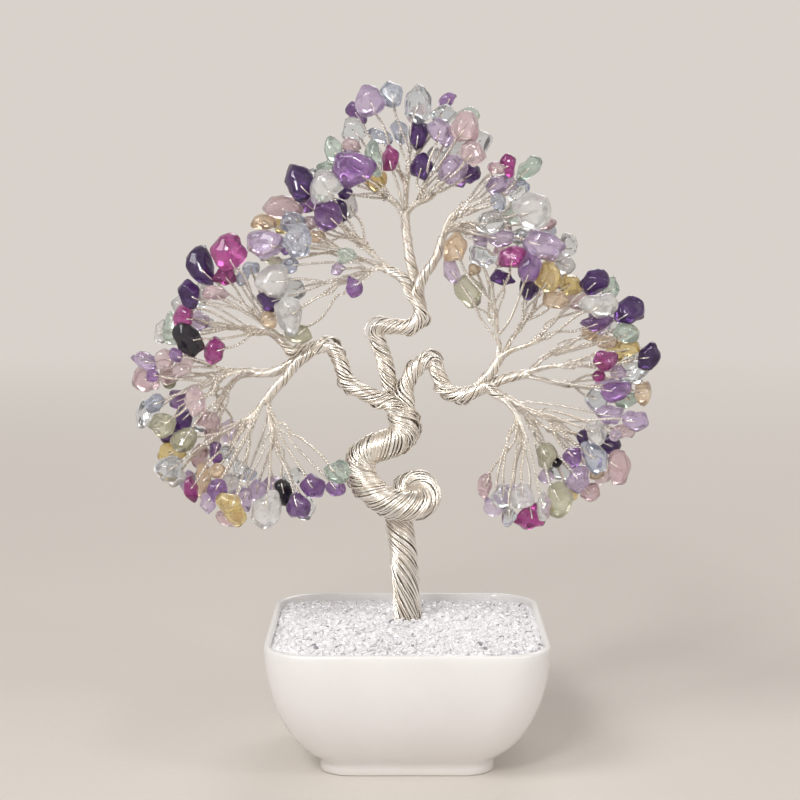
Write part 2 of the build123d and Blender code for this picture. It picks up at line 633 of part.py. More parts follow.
# Stations at even spacing on a smooth line through points that carry a thickness
def smooth_stations(points, thickness_shares, spacing, start_direction):
    directions = [start_direction]
    for k in range(1, len(points) - 1):
        directions.append(line_direction(points[k - 1], points[k], points[k + 1]))
    directions.append((points[-1] - points[-2]).normalized())
    fine = []
    fine_steps = 12
    for k in range(len(points) - 1):
        chord = (points[k + 1] - points[k]).length
        for step in range(fine_steps):
            t = step / fine_steps
            spot = points[k] * ((1 + 2 * t) * (1 - t) ** 2)
            spot += directions[k] * (chord * t * (1 - t) ** 2)
            spot += points[k + 1] * (t * t * (3 - 2 * t))
            spot += directions[k + 1] * (chord * t * t * (t - 1))
            thickness = thickness_shares[k] * (1 - t) + thickness_shares[k + 1] * t
            fine.append((spot, thickness))
    fine.append((points[-1], thickness_shares[-1]))
    lengths = [0]
    for (before, _), (after, _) in zip(fine, fine[1:]):
        lengths.append(lengths[-1] + (after - before).length)
    count = max(2, round(lengths[-1] / spacing))
    stations = []
    segment = 0
    for k in range(count + 1):
        wanted = lengths[-1] * k / count
        while segment < len(fine) - 2 and lengths[segment + 1] < wanted:
            segment += 1
        part_way = (wanted - lengths[segment]) / (lengths[segment + 1] - lengths[segment])
        (before, thin), (after, thick) = fine[segment], fine[segment + 1]
        stations.append((before + (after - before) * part_way, thin + (thick - thin) * part_way))
    return stations


# A solid skinned over rings of corners, with each wall either whole and flat or cut into two triangles
def skinned_solid(rings, triangular):
    facets = [Face(Wire.make_polygon(rings[0])), Face(Wire.make_polygon(rings[-1]))]
    for lower, upper in zip(rings, rings[1:]):
        for corner in range(len(lower)):
            following = (corner + 1) % len(lower)
            if triangular:
                facets.append(Face(Wire.make_polygon([lower[corner], lower[following], upper[following]])))
                facets.append(Face(Wire.make_polygon([lower[corner], upper[following], upper[corner]])))
            else:
                outline = [lower[corner], lower[following], upper[following], upper[corner]]
                facets.append(Face(Wire.make_polygon(outline)))
    # a thin skin can come out inside out, and starting it from another facet cures that
    for first in range(len(facets)):
        solid = Solid(Shell(facets[first:] + facets[:first]))
        if solid.volume > 0:
            break
    return solid


# A bundle of twisted wire: rings of corners that turn steadily along the line.
# With lobes, every second corner lies deeper, so that the strands stand out as ridges.
def twisted_bundle(stations, radius, corners, lobe_share, pitch, start_direction):
    spots = [spot for spot, _ in stations]
    rings = []
    side = start_direction.cross(Vector(0, 1, 0)).normalized()
    travelled = 0
    for k, (spot, thickness_share) in enumerate(stations):
        if k == 0:
            direction = start_direction
        elif k == len(stations) - 1:
            direction = (spots[k] - spots[k - 1]).normalized()
        else:
            direction = line_direction(spots[k - 1], spots[k], spots[k + 1]).normalized()
        side = (side - direction * side.dot(direction)).normalized()
        other = direction.cross(side)
        if k > 0:
            travelled += (spot - spots[k - 1]).length
        ring = []
        for corner in range(corners):
            angle = 2 * pi * (corner / corners - travelled / pitch)
            reach = radius * thickness_share * (1 - lobe_share * (corner % 2))
            ring.append(spot + side * (reach * cos(angle)) + other * (reach * sin(angle)))
        rings.append(ring)
    return skinned_solid(rings, True)


# Where a child bundle starts at its parent's end: beside the parent's line, on the side given in degrees.
# Side 0 is left of the way that the parent goes, as seen from the front, and side 90 is at the back.
def fork_start(parent_end, side_degrees, radius, children):
    spot, direction = parent_end
    left = direction.cross(Vector(0, 1, 0)).normalized()
    back = left.cross(direction)
    spread = fork_spread_share * radius / sin(pi / max(children, 2))
    angle = radians(side_degrees)
    return spot + direction * seat_gap + left * (spread * cos(angle)) + back * (spread * sin(angle))


# The end of a line of stations and the way that it points there
def line_end(stations):
    (before, _), (spot, _) = stations[-2:]
    return spot, (spot - before).normalized()


# A child's stations from its fork through its own waypoints, with its thickness falling to the tip's share
def child_stations(parent_end, side_degrees, radius, children, waypoint_shares, spacing, tip_share):
    points = [fork_start(parent_end, side_degrees, radius, children)]
    points += [place(*shares) for shares in waypoint_shares]
    last = len(points) - 1
    thickness_shares = [1 - (1 - tip_share) * k / last for k in range(last + 1)]
    return smooth_stations(points, thickness_shares, spacing, parent_end[1])


# A stone from its row and its number: its centre, its farthest corner, its outlines and its walls
def shaped_stone(row, number):
    x_share, depth_share, height_share, width_share, length_share, turn_degrees, kind = row
    centre = place(x_share, depth_share, height_share)
    half_width = width_share * chip_size / 2
    half_length = length_share * chip_size / 2
    half_thickness = chip_thickness_share * (half_width + half_length) / 2
    turn = radians(turn_degrees)
    across = Vector(cos(turn), 0, sin(turn))
    along = Vector(-sin(turn), 0, cos(turn))
    lean = across * (chip_lean_share * sin(1.7 * number)) + along * (chip_lean_share * cos(2.9 * number))
    facing = (Vector(0, -1, 0) + lean).normalized()
    across = (across - facing * across.dot(facing)).normalized()
    along = facing.cross(across)
    corners = 6 if width_share * length_share > big_chip_share else 5
    outlines = []
    for depth_step, size_share in ((-1, chip_back_share), (0, 1), (1, chip_front_share)):
        outline = []
        for corner in range(corners):
            angle = 2 * pi * (corner + 0.37 * number) / corners
            reach = size_share * (1 + chip_wobble_share * sin(3.1 * corner + 1.3 * number))
            outline.append(
                centre
                + facing * (half_thickness * depth_step)
                + across * (half_width * reach * cos(angle))
                + along * (half_length * reach * sin(angle))
            )
        outlines.append(outline)
    faces = [outlines[0][:3], outlines[-1][:3]]
    for inner, outer in zip(outlines, outlines[1:]):
        for corner in range(corners):
            faces.append((inner[corner], inner[(corner + 1) % corners], outer[corner]))
    walls = []
    for first, second, third in faces:
        normal = (second - first).cross(third - first).normalized()
        walls.append((first, normal if normal.dot(first - centre) > 0 else -normal))
    reach = max((corner - centre).length for outline in outlines for corner in outline)
    return {"kind": kind, "centre": centre, "reach": reach, "outlines": outlines, "walls": walls}


# How far a line from a point inside a stone runs before it leaves the stone
def way_out(stone, point, direction):
    distances = []
    for spot, normal in stone["walls"]:
        speed = normal.dot(direction)
        if speed > 0:
            distances.append(normal.dot(spot - point) / speed)
    return min(distances)


# How far from a stone's centre a twig that comes to it has to stop
def stand_off(stone, way, side, other):
    lengths = []
    for step in range(2 * twig_sides):
        angle = pi * step / twig_sides
        edge = stone["centre"] + (side * cos(angle) + other * sin(angle)) * twig_radius
        lengths.append(way_out(stone, edge, -way))
    for outline in stone["outlines"]:
        for corner in outline:
            away = corner - stone["centre"]
            if (away - way * away.dot(way)).length < twig_radius:
                lengths.append(-away.dot(way))
    return max(lengths) + twig_gap


# The least distance between two straight stretches
def stretch_gap(start, end, other_start, other_end):
    way = end - start
    other_way = other_end - other_start
    between = start - other_start
    cross = way.dot(other_way)
    spread = way.dot(way) * other_way.dot(other_way) - cross * cross
    share = 0
    if spread > 0:
        share = (cross * other_way.dot(between) - other_way.dot(other_way) * way.dot(between)) / spread
    share = min(max(share, 0), 1)
    other_share = (cross * share + other_way.dot(between)) / other_way.dot(other_way)
    other_share = min(max(other_share, 0), 1)
    share = min(max((cross * other_share - way.dot(between)) / way.dot(way), 0), 1)
    return (between + way * share - other_way * other_share).length


# Whether a straight stretch of a twig keeps clear of every stone but its own and of every wire
def stretch_is_clear(start, end, own_stone, all_stones, all_wires):
    length = (end - start).length
    way = (end - start).normalized()
    middle = (start + end) / 2
    for wire_start, wire_end, wire_radius in all_wires:
        margin = wire_radius + twig_radius + wire_gap
        far = (length + (wire_end - wire_start).length) / 2 + margin
        if (middle - (wire_start + wire_end) / 2).length < far:
            if stretch_gap(start, end, wire_start, wire_end) < margin:
                return False
    margin = twig_radius + twig_gap
    for stone in all_stones:
        along = min(max((stone["centre"] - start).dot(way), 0), length)
        distance = (start + way * along - stone["centre"]).length
        if stone is own_stone or distance > stone["reach"] + margin:
            continue
        for step in range(clear_steps + 1):
            point = start + way * (length * step / clear_steps)
            if max(normal.dot(point - spot) for spot, normal in stone["walls"]) < margin:
                return False
    return True


# A twig's way from beside a spot on the stem to just short of its stone, and the corners of its section.
# It is straight, or has one elbow where something stands in its way.
def twig_route(stem_spot, stem_direction, stem_reach, stone, all_stones, all_wires):
    centre = stone["centre"]
    to_stone = centre - stem_spot
    sideways = (to_stone - stem_direction * to_stone.dot(stem_direction)).normalized()
    crossways = stem_direction.cross(sideways)
    fallback = None
    for bend in range(elbow_tries):
        for swing in swing_degrees:
            outward = sideways * cos(radians(swing)) + crossways * sin(radians(swing))
            start = stem_spot + outward * (stem_reach + twig_radius + twig_gap)
            way = (centre - start).normalized()
            side = way.cross(outward).normalized()
            other = way.cross(side)
            offsets = []
            for step in range(twig_sides):
                angle = 2 * pi * step / twig_sides
                offsets.append((side * cos(angle) + other * sin(angle)) * twig_radius)
            for turn in range(elbow_turns if bend else 1):
                angle = 2 * pi * (turn + bend / 2) / elbow_turns
                elbow = start + (centre - start) * elbow_share
                elbow += (side * cos(angle) + other * sin(angle)) * (bend * elbow_step)
                last_way = (centre - elbow).normalized()
                tip = centre - last_way * stand_off(stone, last_way, side, other)
                route = (start, elbow, tip) if bend else (start, tip)
                fallback = fallback or (route, offsets)
                legs = zip(route, route[1:])
                if all(stretch_is_clear(before, after, stone, all_stones, all_wires) for before, after in legs):
                    return route, offsets
    return fallback


with BuildPart() as bowl:
    with BuildSketch(Plane.XY):
        RectangleRounded(foot_width, foot_width, foot_corner_radius)
    extrude(amount=foot_height)
    belly_rows = [belly_point(angle, 0) for angle in belly_angles()]
    belly_rows[-1] = (bowl_width / 2, bowl_height - lip_bevel, bowl_corner_radius)
    belly_rows.append((bowl_width / 2 - lip_bevel, bowl_height, bowl_corner_radius - lip_bevel))
    add(skinned_solid([rounded_square(*row) for row in belly_rows], False))
    cavity_rows = [belly_point(angle, bowl_wall) for angle in belly_angles()]
    add(skinned_solid([rounded_square(*row) for row in cavity_rows], False), mode=Mode.SUBTRACT)
bowl.part.label = "bowl"
export_step(bowl.part, "parts/bowl.step")


# The bowl's inside, less the filling's gap, at a height: half the width, the height and the corner radius
def filling_row(height):
    inset = bowl_wall + filling_gap
    rows = [belly_point(angle, inset) for angle in belly_angles()]
    for (low_width, low, low_corner), (high_width, high, high_corner) in zip(rows, rows[1:]):
        if low <= height <= high:
            part_way = (height - low) / (high - low)
            width = low_width + (high_width - low_width) * part_way
            return width, height, low_corner + (high_corner - low_corner) * part_way
    return rows[-1]


trunk_socket_radius = trunk_radius * trunk_shares[0][3] + trunk_socket_gap
cavity_floor = belly_point(belly_start_angle(), bowl_wall)[1]

with BuildPart() as plaster_plug:
    plug_rows = [belly_point(angle, bowl_wall + filling_gap) for angle in belly_angles()]
    plug_rows = [row for row in plug_rows if row[1] < plaster_top] + [filling_row(plaster_top)]
    add(skinned_solid([rounded_square(*row) for row in plug_rows], False))
    with BuildSketch(Plane.XY.offset(cavity_floor + tail_clearance)):
        Circle(trunk_socket_radius)
    extrude(amount=plaster_top, mode=Mode.SUBTRACT)
plaster_plug.part.label = "plaster_plug"
export_step(plaster_plug.part, "parts/plaster_plug.step")

with BuildPart() as crushed_quartz_bed:
    bed_rings = []
    for height in (plaster_top + filling_gap, bed_edge_height):
        half_width, _, corner = filling_row(height)
        bed_rings.append(rounded_square(half_width, height, corner, bed_side_parts))
    for number, (width_share, rise_share) in enumerate(bed_ring_shares):
        height = bed_edge_height + rise_share * (bed_crest_height - bed_edge_height)
        ring_corner = width_share * (corner + (1 - width_share) * (half_width - corner))
        ring = []
        for count, spot in enumerate(rounded_square(width_share * half_width, height, ring_corner, bed_side_parts)):
            lump = 1 - bed_lump_share * (1 + sin(2.6 * count + 1.9 * number)) / 2
            front_rise = -bed_front_rise * spot.Y / half_width * (1 - rise_share)
            if number < len(bed_ring_shares) - 1:
                front_rise += bed_grain_height * sin(2.5 * count + 1.7 * number * number)
            ring.append(Vector(lump * spot.X, lump * spot.Y, height + front_rise))
        bed_rings.append(ring)
    add(skinned_solid(bed_rings, True))
    with BuildSketch(Plane.XY):
        Circle(trunk_socket_radius)
    extrude(amount=bowl_height + bowl_width, mode=Mode.SUBTRACT)
crushed_quartz_bed.part.label = "crushed_quartz_bed"
export_step(crushed_quartz_bed.part, "parts/crushed_quartz_bed.step")

# Ends of the bundles, by name, for what grows on them, and every straight stretch of wire so far
ends = {}
wires = []


def lay_wire(spots, radius):
    wires.extend((before, after, radius) for before, after in zip(spots, spots[1:]))


with BuildPart() as trunk:
    tail_end = cavity_floor + tail_clearance + filling_gap
    trunk_points = [Vector(0, 0, tail_end), Vector(0, 0, plaster_top)]
    trunk_points += [place(x, depth, height) for x, depth, height, _ in trunk_shares]
    trunk_thickness_shares = [trunk_shares[0][3]] * 2 + [row[3] for row in trunk_shares]
    upwards = Vector(0, 0, 1)
    trunk_stations = smooth_stations(trunk_points, trunk_thickness_shares, trunk_station, upwards)
    add(twisted_bundle(trunk_stations, trunk_radius, 2 * trunk_lobes, lobe_depth_share, trunk_pitch, upwards))
    ends["trunk"] = line_end(trunk_stations)
trunk.part.label = "trunk"
export_step(trunk.part, "parts/trunk.step")

for name, (side_degrees, waypoint_shares) in limb_shares.items():
    with BuildPart() as limb:
        parent_end = ends["trunk"]
        stations = child_stations(
            parent_end, side_degrees, limb_radius, len(limb_shares), waypoint_shares, limb_station, taper_share
        )
        add(twisted_bundle(stations, limb_radius, 2 * limb_lobes, lobe_depth_share, limb_pitch, parent_end[1]))
        ends[name] = line_end(stations)
        lay_wire([spot for spot, _ in stations], limb_radius)
    limb.part.label = name
    export_step(limb.part, f"parts/{name}.step")

for name, (parent, side_degrees, waypoint_shares) in branch_shares.items():
    siblings = sum(1 for row in branch_shares.values() if row[0] == parent)
    with BuildPart() as branch:
        stations = child_stations(
            ends[parent], side_degrees, branch_radius, siblings, waypoint_shares, branch_station, taper_share
        )
        add(twisted_bundle(stations, branch_radius, branch_sides, 0, branch_pitch, ends[parent][1]))
        ends[name] = line_end(stations)
        lay_wire([spot for spot, _ in stations], branch_radius)
    branch.part.label = name
    export_step(branch.part, f"parts/{name}.step")

# Every stone is worked out before the twigs, which bend round those in their way
stones = {}
for name, (_, _, _, stone_rows) in spray_shares.items():
    first_number = sum(len(earlier) for earlier in stones.values())
    stones[name] = [shaped_stone(row, first_number + k) for k, row in enumerate(stone_rows)]
all_stones = [stone for spray_stones in stones.values() for stone in spray_stones]

stems = {}
for name, (parent, side_degrees, waypoint_shares, _) in spray_shares.items():
    siblings = sum(1 for row in spray_shares.values() if row[0] == parent)
    stems[name] = child_stations(
        ends[parent], side_degrees, stem_radius, siblings, waypoint_shares, stem_station, taper_share
    )
    lay_wire([spot for spot, _ in stems[name]], stem_radius)

for name, (parent, _, _, _) in spray_shares.items():
    with BuildPart() as spray:
        stations = stems[name]
        pieces = [twisted_bundle(stations, stem_radius, stem_sides, 0, stem_pitch, ends[parent][1])]
        tip, tip_direction = line_end(stations)
        # the twigs that turn away most leave the stem first
        fan = sorted(stones[name], key=lambda stone: (stone["centre"] - tip).get_angle(tip_direction))
        stem_length = sum((after - before).length for (before, _), (after, _) in zip(stations, stations[1:]))
        tier = min(twig_tier, tier_stretch_share * stem_length / len(fan))
        for number, stone in enumerate(fan):
            behind = (number + 1) * tier
            for (before, _), (spot, _) in zip(stations[-2::-1], stations[:0:-1]):
                way = (spot - before).normalized()
                if behind <= (spot - before).length:
                    break
                behind -= (spot - before).length
            route, offsets = twig_route(spot - way * behind, way, stem_radius, stone, all_stones, wires)
            lay_wire(route, twig_radius)
            pieces.append(skinned_solid([[point + offset for offset in offsets] for point in route], False))
        add(pieces)
    spray.part.label = name
    export_step(spray.part, f"parts/{name}.step")

for kind in stone_kinds:
    with BuildPart() as chips:
        add([skinned_solid(stone["outlines"], False) for stone in all_stones if stone["kind"] == kind])
    chips.part.label = f"{kind}_chips"
    export_step(chips.part, f"parts/{kind}_chips.step")
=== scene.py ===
import bpy
import bmesh
import json
import random
from math import radians, pi, sin, cos, acos, atan2, sqrt
import numpy as np
from mathutils import Matrix, Vector
from mathutils.bvhtree import BVHTree

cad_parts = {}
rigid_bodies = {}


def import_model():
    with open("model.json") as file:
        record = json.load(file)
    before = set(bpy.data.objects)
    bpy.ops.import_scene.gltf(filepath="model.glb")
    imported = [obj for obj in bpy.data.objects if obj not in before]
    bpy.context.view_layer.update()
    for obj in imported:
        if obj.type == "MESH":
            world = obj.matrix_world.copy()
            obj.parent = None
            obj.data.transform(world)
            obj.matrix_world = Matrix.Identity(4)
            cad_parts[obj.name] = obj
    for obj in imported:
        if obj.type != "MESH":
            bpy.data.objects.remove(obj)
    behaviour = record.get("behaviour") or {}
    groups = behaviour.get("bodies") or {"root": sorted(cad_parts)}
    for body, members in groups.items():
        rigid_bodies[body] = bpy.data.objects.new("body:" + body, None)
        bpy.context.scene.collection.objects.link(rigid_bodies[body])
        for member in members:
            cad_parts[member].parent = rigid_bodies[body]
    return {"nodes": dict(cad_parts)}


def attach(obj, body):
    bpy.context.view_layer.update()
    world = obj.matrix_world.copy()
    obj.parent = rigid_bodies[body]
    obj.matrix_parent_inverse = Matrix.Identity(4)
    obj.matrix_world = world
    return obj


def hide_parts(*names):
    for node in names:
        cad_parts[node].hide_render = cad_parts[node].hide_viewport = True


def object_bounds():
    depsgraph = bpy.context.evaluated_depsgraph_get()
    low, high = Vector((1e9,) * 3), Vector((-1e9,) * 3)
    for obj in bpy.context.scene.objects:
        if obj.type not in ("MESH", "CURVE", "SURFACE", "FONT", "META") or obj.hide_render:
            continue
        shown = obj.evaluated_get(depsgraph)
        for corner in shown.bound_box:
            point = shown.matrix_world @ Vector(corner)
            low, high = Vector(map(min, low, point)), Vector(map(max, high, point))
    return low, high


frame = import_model()
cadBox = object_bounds()
nodes = frame["nodes"]
mm = 0.001
weldGap = 0.002 * mm  # corners of a node's loose triangles that are nearer than this are one
print("frame loaded:", len(nodes), "nodes")


def selectOnly(piece):
    for other in bpy.context.view_layer.objects:
        other.select_set(False)
    piece.select_set(True)
    bpy.context.view_layer.objects.active = piece


def linkNew(name, data):
    piece = bpy.data.objects.new(name, data)
    bpy.context.scene.collection.objects.link(piece)
    return piece


def giveMaterial(piece, material):
    piece.data.materials.clear()
    piece.data.materials.append(material)


def finishPiece(piece, material, replaced=()):
    selectOnly(piece)
    bpy.ops.object.transform_apply(location=True, rotation=True, scale=True)
    giveMaterial(piece, material)
    if replaced:
        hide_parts(*replaced)
    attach(piece, "root")


def applyModifier(piece, kind, **settings):
    modifier = piece.modifiers.new(kind.lower(), kind)
    for key, value in settings.items():
        setattr(modifier, key, value)
    selectOnly(piece)
    bpy.ops.object.modifier_apply(modifier=modifier.name)


def setShares(piece, name, values):  # a value for each corner, which the material reads
    attribute = piece.data.attributes.new(name, "FLOAT", "POINT")
    attribute.data.foreach_set("value", np.asarray(values, dtype=np.float32).ravel())


def mergedMesh(node):
    mesh = bmesh.new()  # a copy of the node's loose triangles, merged
    mesh.from_mesh(nodes[node].data)
    bmesh.ops.remove_doubles(mesh, verts=mesh.verts, dist=weldGap)
    mesh.verts.index_update()
    return mesh


def grow(seed, longest=1.0):  # the corners that edges shorter than this join to the seed
    found, edge = {seed}, [seed]
    while edge:
        corner = edge.pop()
        for link in corner.link_edges:
            other = link.other_vert(corner)
            if other not in found and link.calc_length() < longest:
                found.add(other)
                edge.append(other)
    return sorted(found, key=lambda corner: corner.index)


def islandsOf(mesh):
    seen, islands = set(), []
    for corner in mesh.verts:
        if corner not in seen:
            island = grow(corner)
            seen.update(island)
            islands.append(island)
    return islands


def middleOf(corners):
    return sum((corner.co for corner in corners), Vector()) / len(corners)


def travelAlong(line):
    steps = np.linalg.norm(np.diff(line, axis=0), axis=1)
    return steps, np.concatenate([[0], np.cumsum(steps)])


def addNode(tree, kind, inputs=None, **settings):
    node = tree.nodes.new(kind)
    for key, value in settings.items():
        setattr(node, key, value)
    for key, value in (inputs or {}).items():
        if isinstance(value, bpy.types.NodeSocket):
            tree.links.new(value, node.inputs[key])
        else:
            node.inputs[key].default_value = value
    return node


def mixColours(tree, share, first, second):
    return addNode(tree, "ShaderNodeMix", {0: share, 6: first, 7: second}, data_type="RGBA").outputs[2]


def spread(tree, value, low, high, newLow=0.0, newHigh=1.0):
    return addNode(tree, "ShaderNodeMapRange", {0: value, 1: low, 2: high, 3: newLow, 4: newHigh}).outputs[0]


def sums(tree, operation, first, second):
    return addNode(tree, "ShaderNodeMath", {0: first, 1: second}, operation=operation).outputs[0]


def overlay(tree, mask, share, base, tint):  # tint over the base, as much as the mask and the share allow
    return mixColours(tree, sums(tree, "MULTIPLY", mask, share), base, tint)


def noiseAt(tree, spots, scale, detail=3.0, roughness=0.5, distortion=0.0):
    values = {"Vector": spots, "Scale": scale, "Detail": detail, "Roughness": roughness, "Distortion": distortion}
    return addNode(tree, "ShaderNodeTexNoise", values).outputs[0]


def attributeOf(tree, name):
    return addNode(tree, "ShaderNodeAttribute", attribute_name=name).outputs["Fac"]


def bumpFrom(tree, height, strength, distance):
    values = {"Height": height, "Strength": strength, "Distance": distance}
    return addNode(tree, "ShaderNodeBump", values).outputs["Normal"]


def colour(red, green, blue):
    return (red, green, blue, 1.0)


def newMaterial(name):
    material = bpy.data.materials.new(name)
    material.use_nodes = True
    tree = material.node_tree
    return material, tree, tree.nodes["Principled BSDF"]


def joinSockets(tree, shader, **sockets):
    for key, socket in sockets.items():
        tree.links.new(socket, shader.inputs[key.replace("_", " ")])


def makeGroup(name, inputs, outputs):
    group = bpy.data.node_groups.new(name, "ShaderNodeTree")
    for direction, sockets in (("INPUT", inputs), ("OUTPUT", outputs)):
        for socket in sockets:
            group.interface.new_socket(name=socket, in_out=direction, socket_type="NodeSocketFloat")
    entry = group.nodes.new("NodeGroupInput")
    leave = group.nodes.new("NodeGroupOutput")
    return group, entry, leave, addNode(group, "ShaderNodeTexCoord").outputs["Object"]


def useGroup(tree, group, inputs):
    return addNode(tree, "ShaderNodeGroup", inputs, node_tree=group).outputs


# Veils, bands, cracks and specks inside a stone. Tone moves the pattern from stone to stone and shades it.
stonePattern = {
    "shift": (0.37, 0.11, 0.23), "veils": (0.42, 0.68), "bands": (0.25, 0.8), "bandBend": 3.0, "bandDetail": (2.0, 1.4),
    "crackScale": 260.0, "crackWidth": 0.05, "speckScale": 1500.0, "specks": (0.68, 0.74),
    "shadeScale": 70.0, "shade": (0.45, 1.5),
}


def makeStoneGroup():
    look = stonePattern
    outputs = ("Veils", "Bands", "Cracks", "Specks", "Shade")
    group, entry, leave, place = makeGroup("stoneVeils", ("Tone", "Veil Scale", "Band Scale"), outputs)
    tone = entry.outputs["Tone"]
    shift = addNode(group, "ShaderNodeVectorMath", {0: look["shift"], "Scale": tone}, operation="SCALE").outputs[0]
    moved = addNode(group, "ShaderNodeVectorMath", {0: place, 1: shift}, operation="ADD").outputs[0]
    veils = noiseAt(group, moved, entry.outputs["Veil Scale"], detail=4, roughness=0.6, distortion=1.2)
    detail, detailScale = look["bandDetail"]
    waves = {"Vector": moved, "Scale": entry.outputs["Band Scale"], "Distortion": look["bandBend"],
             "Detail": detail, "Detail Scale": detailScale}
    bands = addNode(group, "ShaderNodeTexWave", waves, bands_direction="DIAGONAL").outputs["Fac"]
    cells = {"Vector": moved, "Scale": look["crackScale"]}
    cracks = addNode(group, "ShaderNodeTexVoronoi", cells, feature="DISTANCE_TO_EDGE").outputs[0]
    specks = noiseAt(group, moved, look["speckScale"], detail=2)
    shade = sums(group, "ADD", noiseAt(group, moved, look["shadeScale"], detail=1), tone)
    joinSockets(group, leave, Veils=spread(group, veils, *look["veils"]), Bands=spread(group, bands, *look["bands"]),
                Cracks=spread(group, cracks, 0.0, look["crackWidth"], 1.0, 0.0),
                Specks=spread(group, specks, *look["specks"]), Shade=spread(group, shade, *look["shade"]))
    return group


# Fine handling marks and pits, for glaze, plaster and metal
marksPattern = {"stretch": (1.0, 1.0, 9.0), "fineness": 14.0, "pitFineness": 0.6,
                "marks": (0.45, 0.7), "pits": (0.02, 0.12)}


def makeMarksGroup():
    look = marksPattern
    group, entry, leave, place = makeGroup("fineMarks", ("Scale",), ("Cloud", "Marks", "Pits"))
    cloud = noiseAt(group, place, entry.outputs["Scale"], detail=4, roughness=0.55)
    stretched = addNode(group, "ShaderNodeMapping", {"Vector": place, "Scale": look["stretch"]}).outputs[0]
    fine = sums(group, "MULTIPLY", entry.outputs["Scale"], look["fineness"])
    marks = noiseAt(group, stretched, fine, detail=2, roughness=0.6)
    pitScale = sums(group, "MULTIPLY", fine, look["pitFineness"])
    pits = addNode(group, "ShaderNodeTexVoronoi", {"Vector": place, "Scale": pitScale}).outputs[0]
    joinSockets(group, leave, Cloud=cloud, Marks=spread(group, marks, *look["marks"]),
                Pits=spread(group, pits, *look["pits"], 1.0, 0.0))
    return group


stoneGroup = makeStoneGroup()
marksGroup = makeMarksGroup()

glazeFinish = {
    "white": colour(0.875, 0.86, 0.855), "shade": colour(0.83, 0.81, 0.80), "scale": 28.0, "clouds": (0.35, 0.7),
    "body": colour(0.74, 0.69, 0.64), "bodyShare": 0.55, "bodyTop": 4.5 * mm,  # shows where the glaze is thin
    "speck": colour(0.5, 0.46, 0.42), "speckShare": 0.1, "roughness": (0.3, 0.75, 0.16, 0.26), "bump": (0.12, 0.4 * mm),
    "coat": 0.35, "coatRoughness": 0.08, "ior": 1.5,
}


def makeGlaze():
    look = glazeFinish
    material, tree, shader = newMaterial("whiteGlaze")
    marks = useGroup(tree, marksGroup, {"Scale": look["scale"]})
    body = mixColours(tree, spread(tree, marks["Cloud"], *look["clouds"]), look["white"], look["shade"])
    place = addNode(tree, "ShaderNodeTexCoord").outputs["Object"]
    height = addNode(tree, "ShaderNodeSeparateXYZ", {0: place}).outputs[2]
    body = mixColours(tree, spread(tree, height, 0.0, look["bodyTop"], look["bodyShare"], 0.0), body, look["body"])
    body = overlay(tree, marks["Pits"], look["speckShare"], body, look["speck"])
    joinSockets(tree, shader, Base_Color=body, Roughness=spread(tree, marks["Cloud"], *look["roughness"]),
                Normal=bumpFrom(tree, marks["Cloud"], *look["bump"]))
    shader.inputs["Coat Weight"].default_value = look["coat"]
    shader.inputs["Coat Roughness"].default_value = look["coatRoughness"]
    shader.inputs["IOR"].default_value = look["ior"]
    return material


plasterFinish = {"pale": colour(0.86, 0.84, 0.80), "dull": colour(0.66, 0.64, 0.60), "scale": 90.0,
                 "roughness": (0, 1, 0.75, 0.95), "bump": (0.4, 0.3 * mm)}


def makePlaster():
    look = plasterFinish
    material, tree, shader = newMaterial("plasterFill")
    marks = useGroup(tree, marksGroup, {"Scale": look["scale"]})
    joinSockets(tree, shader, Base_Color=mixColours(tree, marks["Cloud"], look["pale"], look["dull"]),
                Roughness=spread(tree, marks["Marks"], *look["roughness"]),
                Normal=bumpFrom(tree, marks["Pits"], *look["bump"]))
    return material


wireFinish = {
    "bright": colour(0.985, 0.96, 0.915), "warm": colour(0.83, 0.755, 0.655), "toneShare": 0.6, "warmFrom": (0.2, 0.8),
    "grooveShade": colour(0.25, 0.195, 0.15), "grooveShadeShare": 0.78,  # painted shade where wires lie side by side
    "scale": 160.0, "roughness": (0.3, 0.7, 0.16, 0.32), "bump": (0.15, 0.05 * mm), "metallic": 0.82,
}


def makeWire():
    look = wireFinish
    material, tree, shader = newMaterial("silverWire")
    marks = useGroup(tree, marksGroup, {"Scale": look["scale"]})
    fromTone = sums(tree, "MULTIPLY", attributeOf(tree, "tone"), look["toneShare"])
    fromCloud = sums(tree, "MULTIPLY", marks["Cloud"], 1 - look["toneShare"])
    warmth = spread(tree, sums(tree, "ADD", fromTone, fromCloud), *look["warmFrom"])
    body = mixColours(tree, warmth, look["bright"], look["warm"])
    # painted shade between the wires: darker where a wire faces into the bundle
    body = overlay(tree, attributeOf(tree, "grooveShade"), look["grooveShadeShare"], body, look["grooveShade"])
    joinSockets(tree, shader, Base_Color=body, Roughness=spread(tree, marks["Cloud"], *look["roughness"]),
                Normal=bumpFrom(tree, marks["Marks"], *look["bump"]))
    shader.inputs["Metallic"].default_value = look["metallic"]
    return material


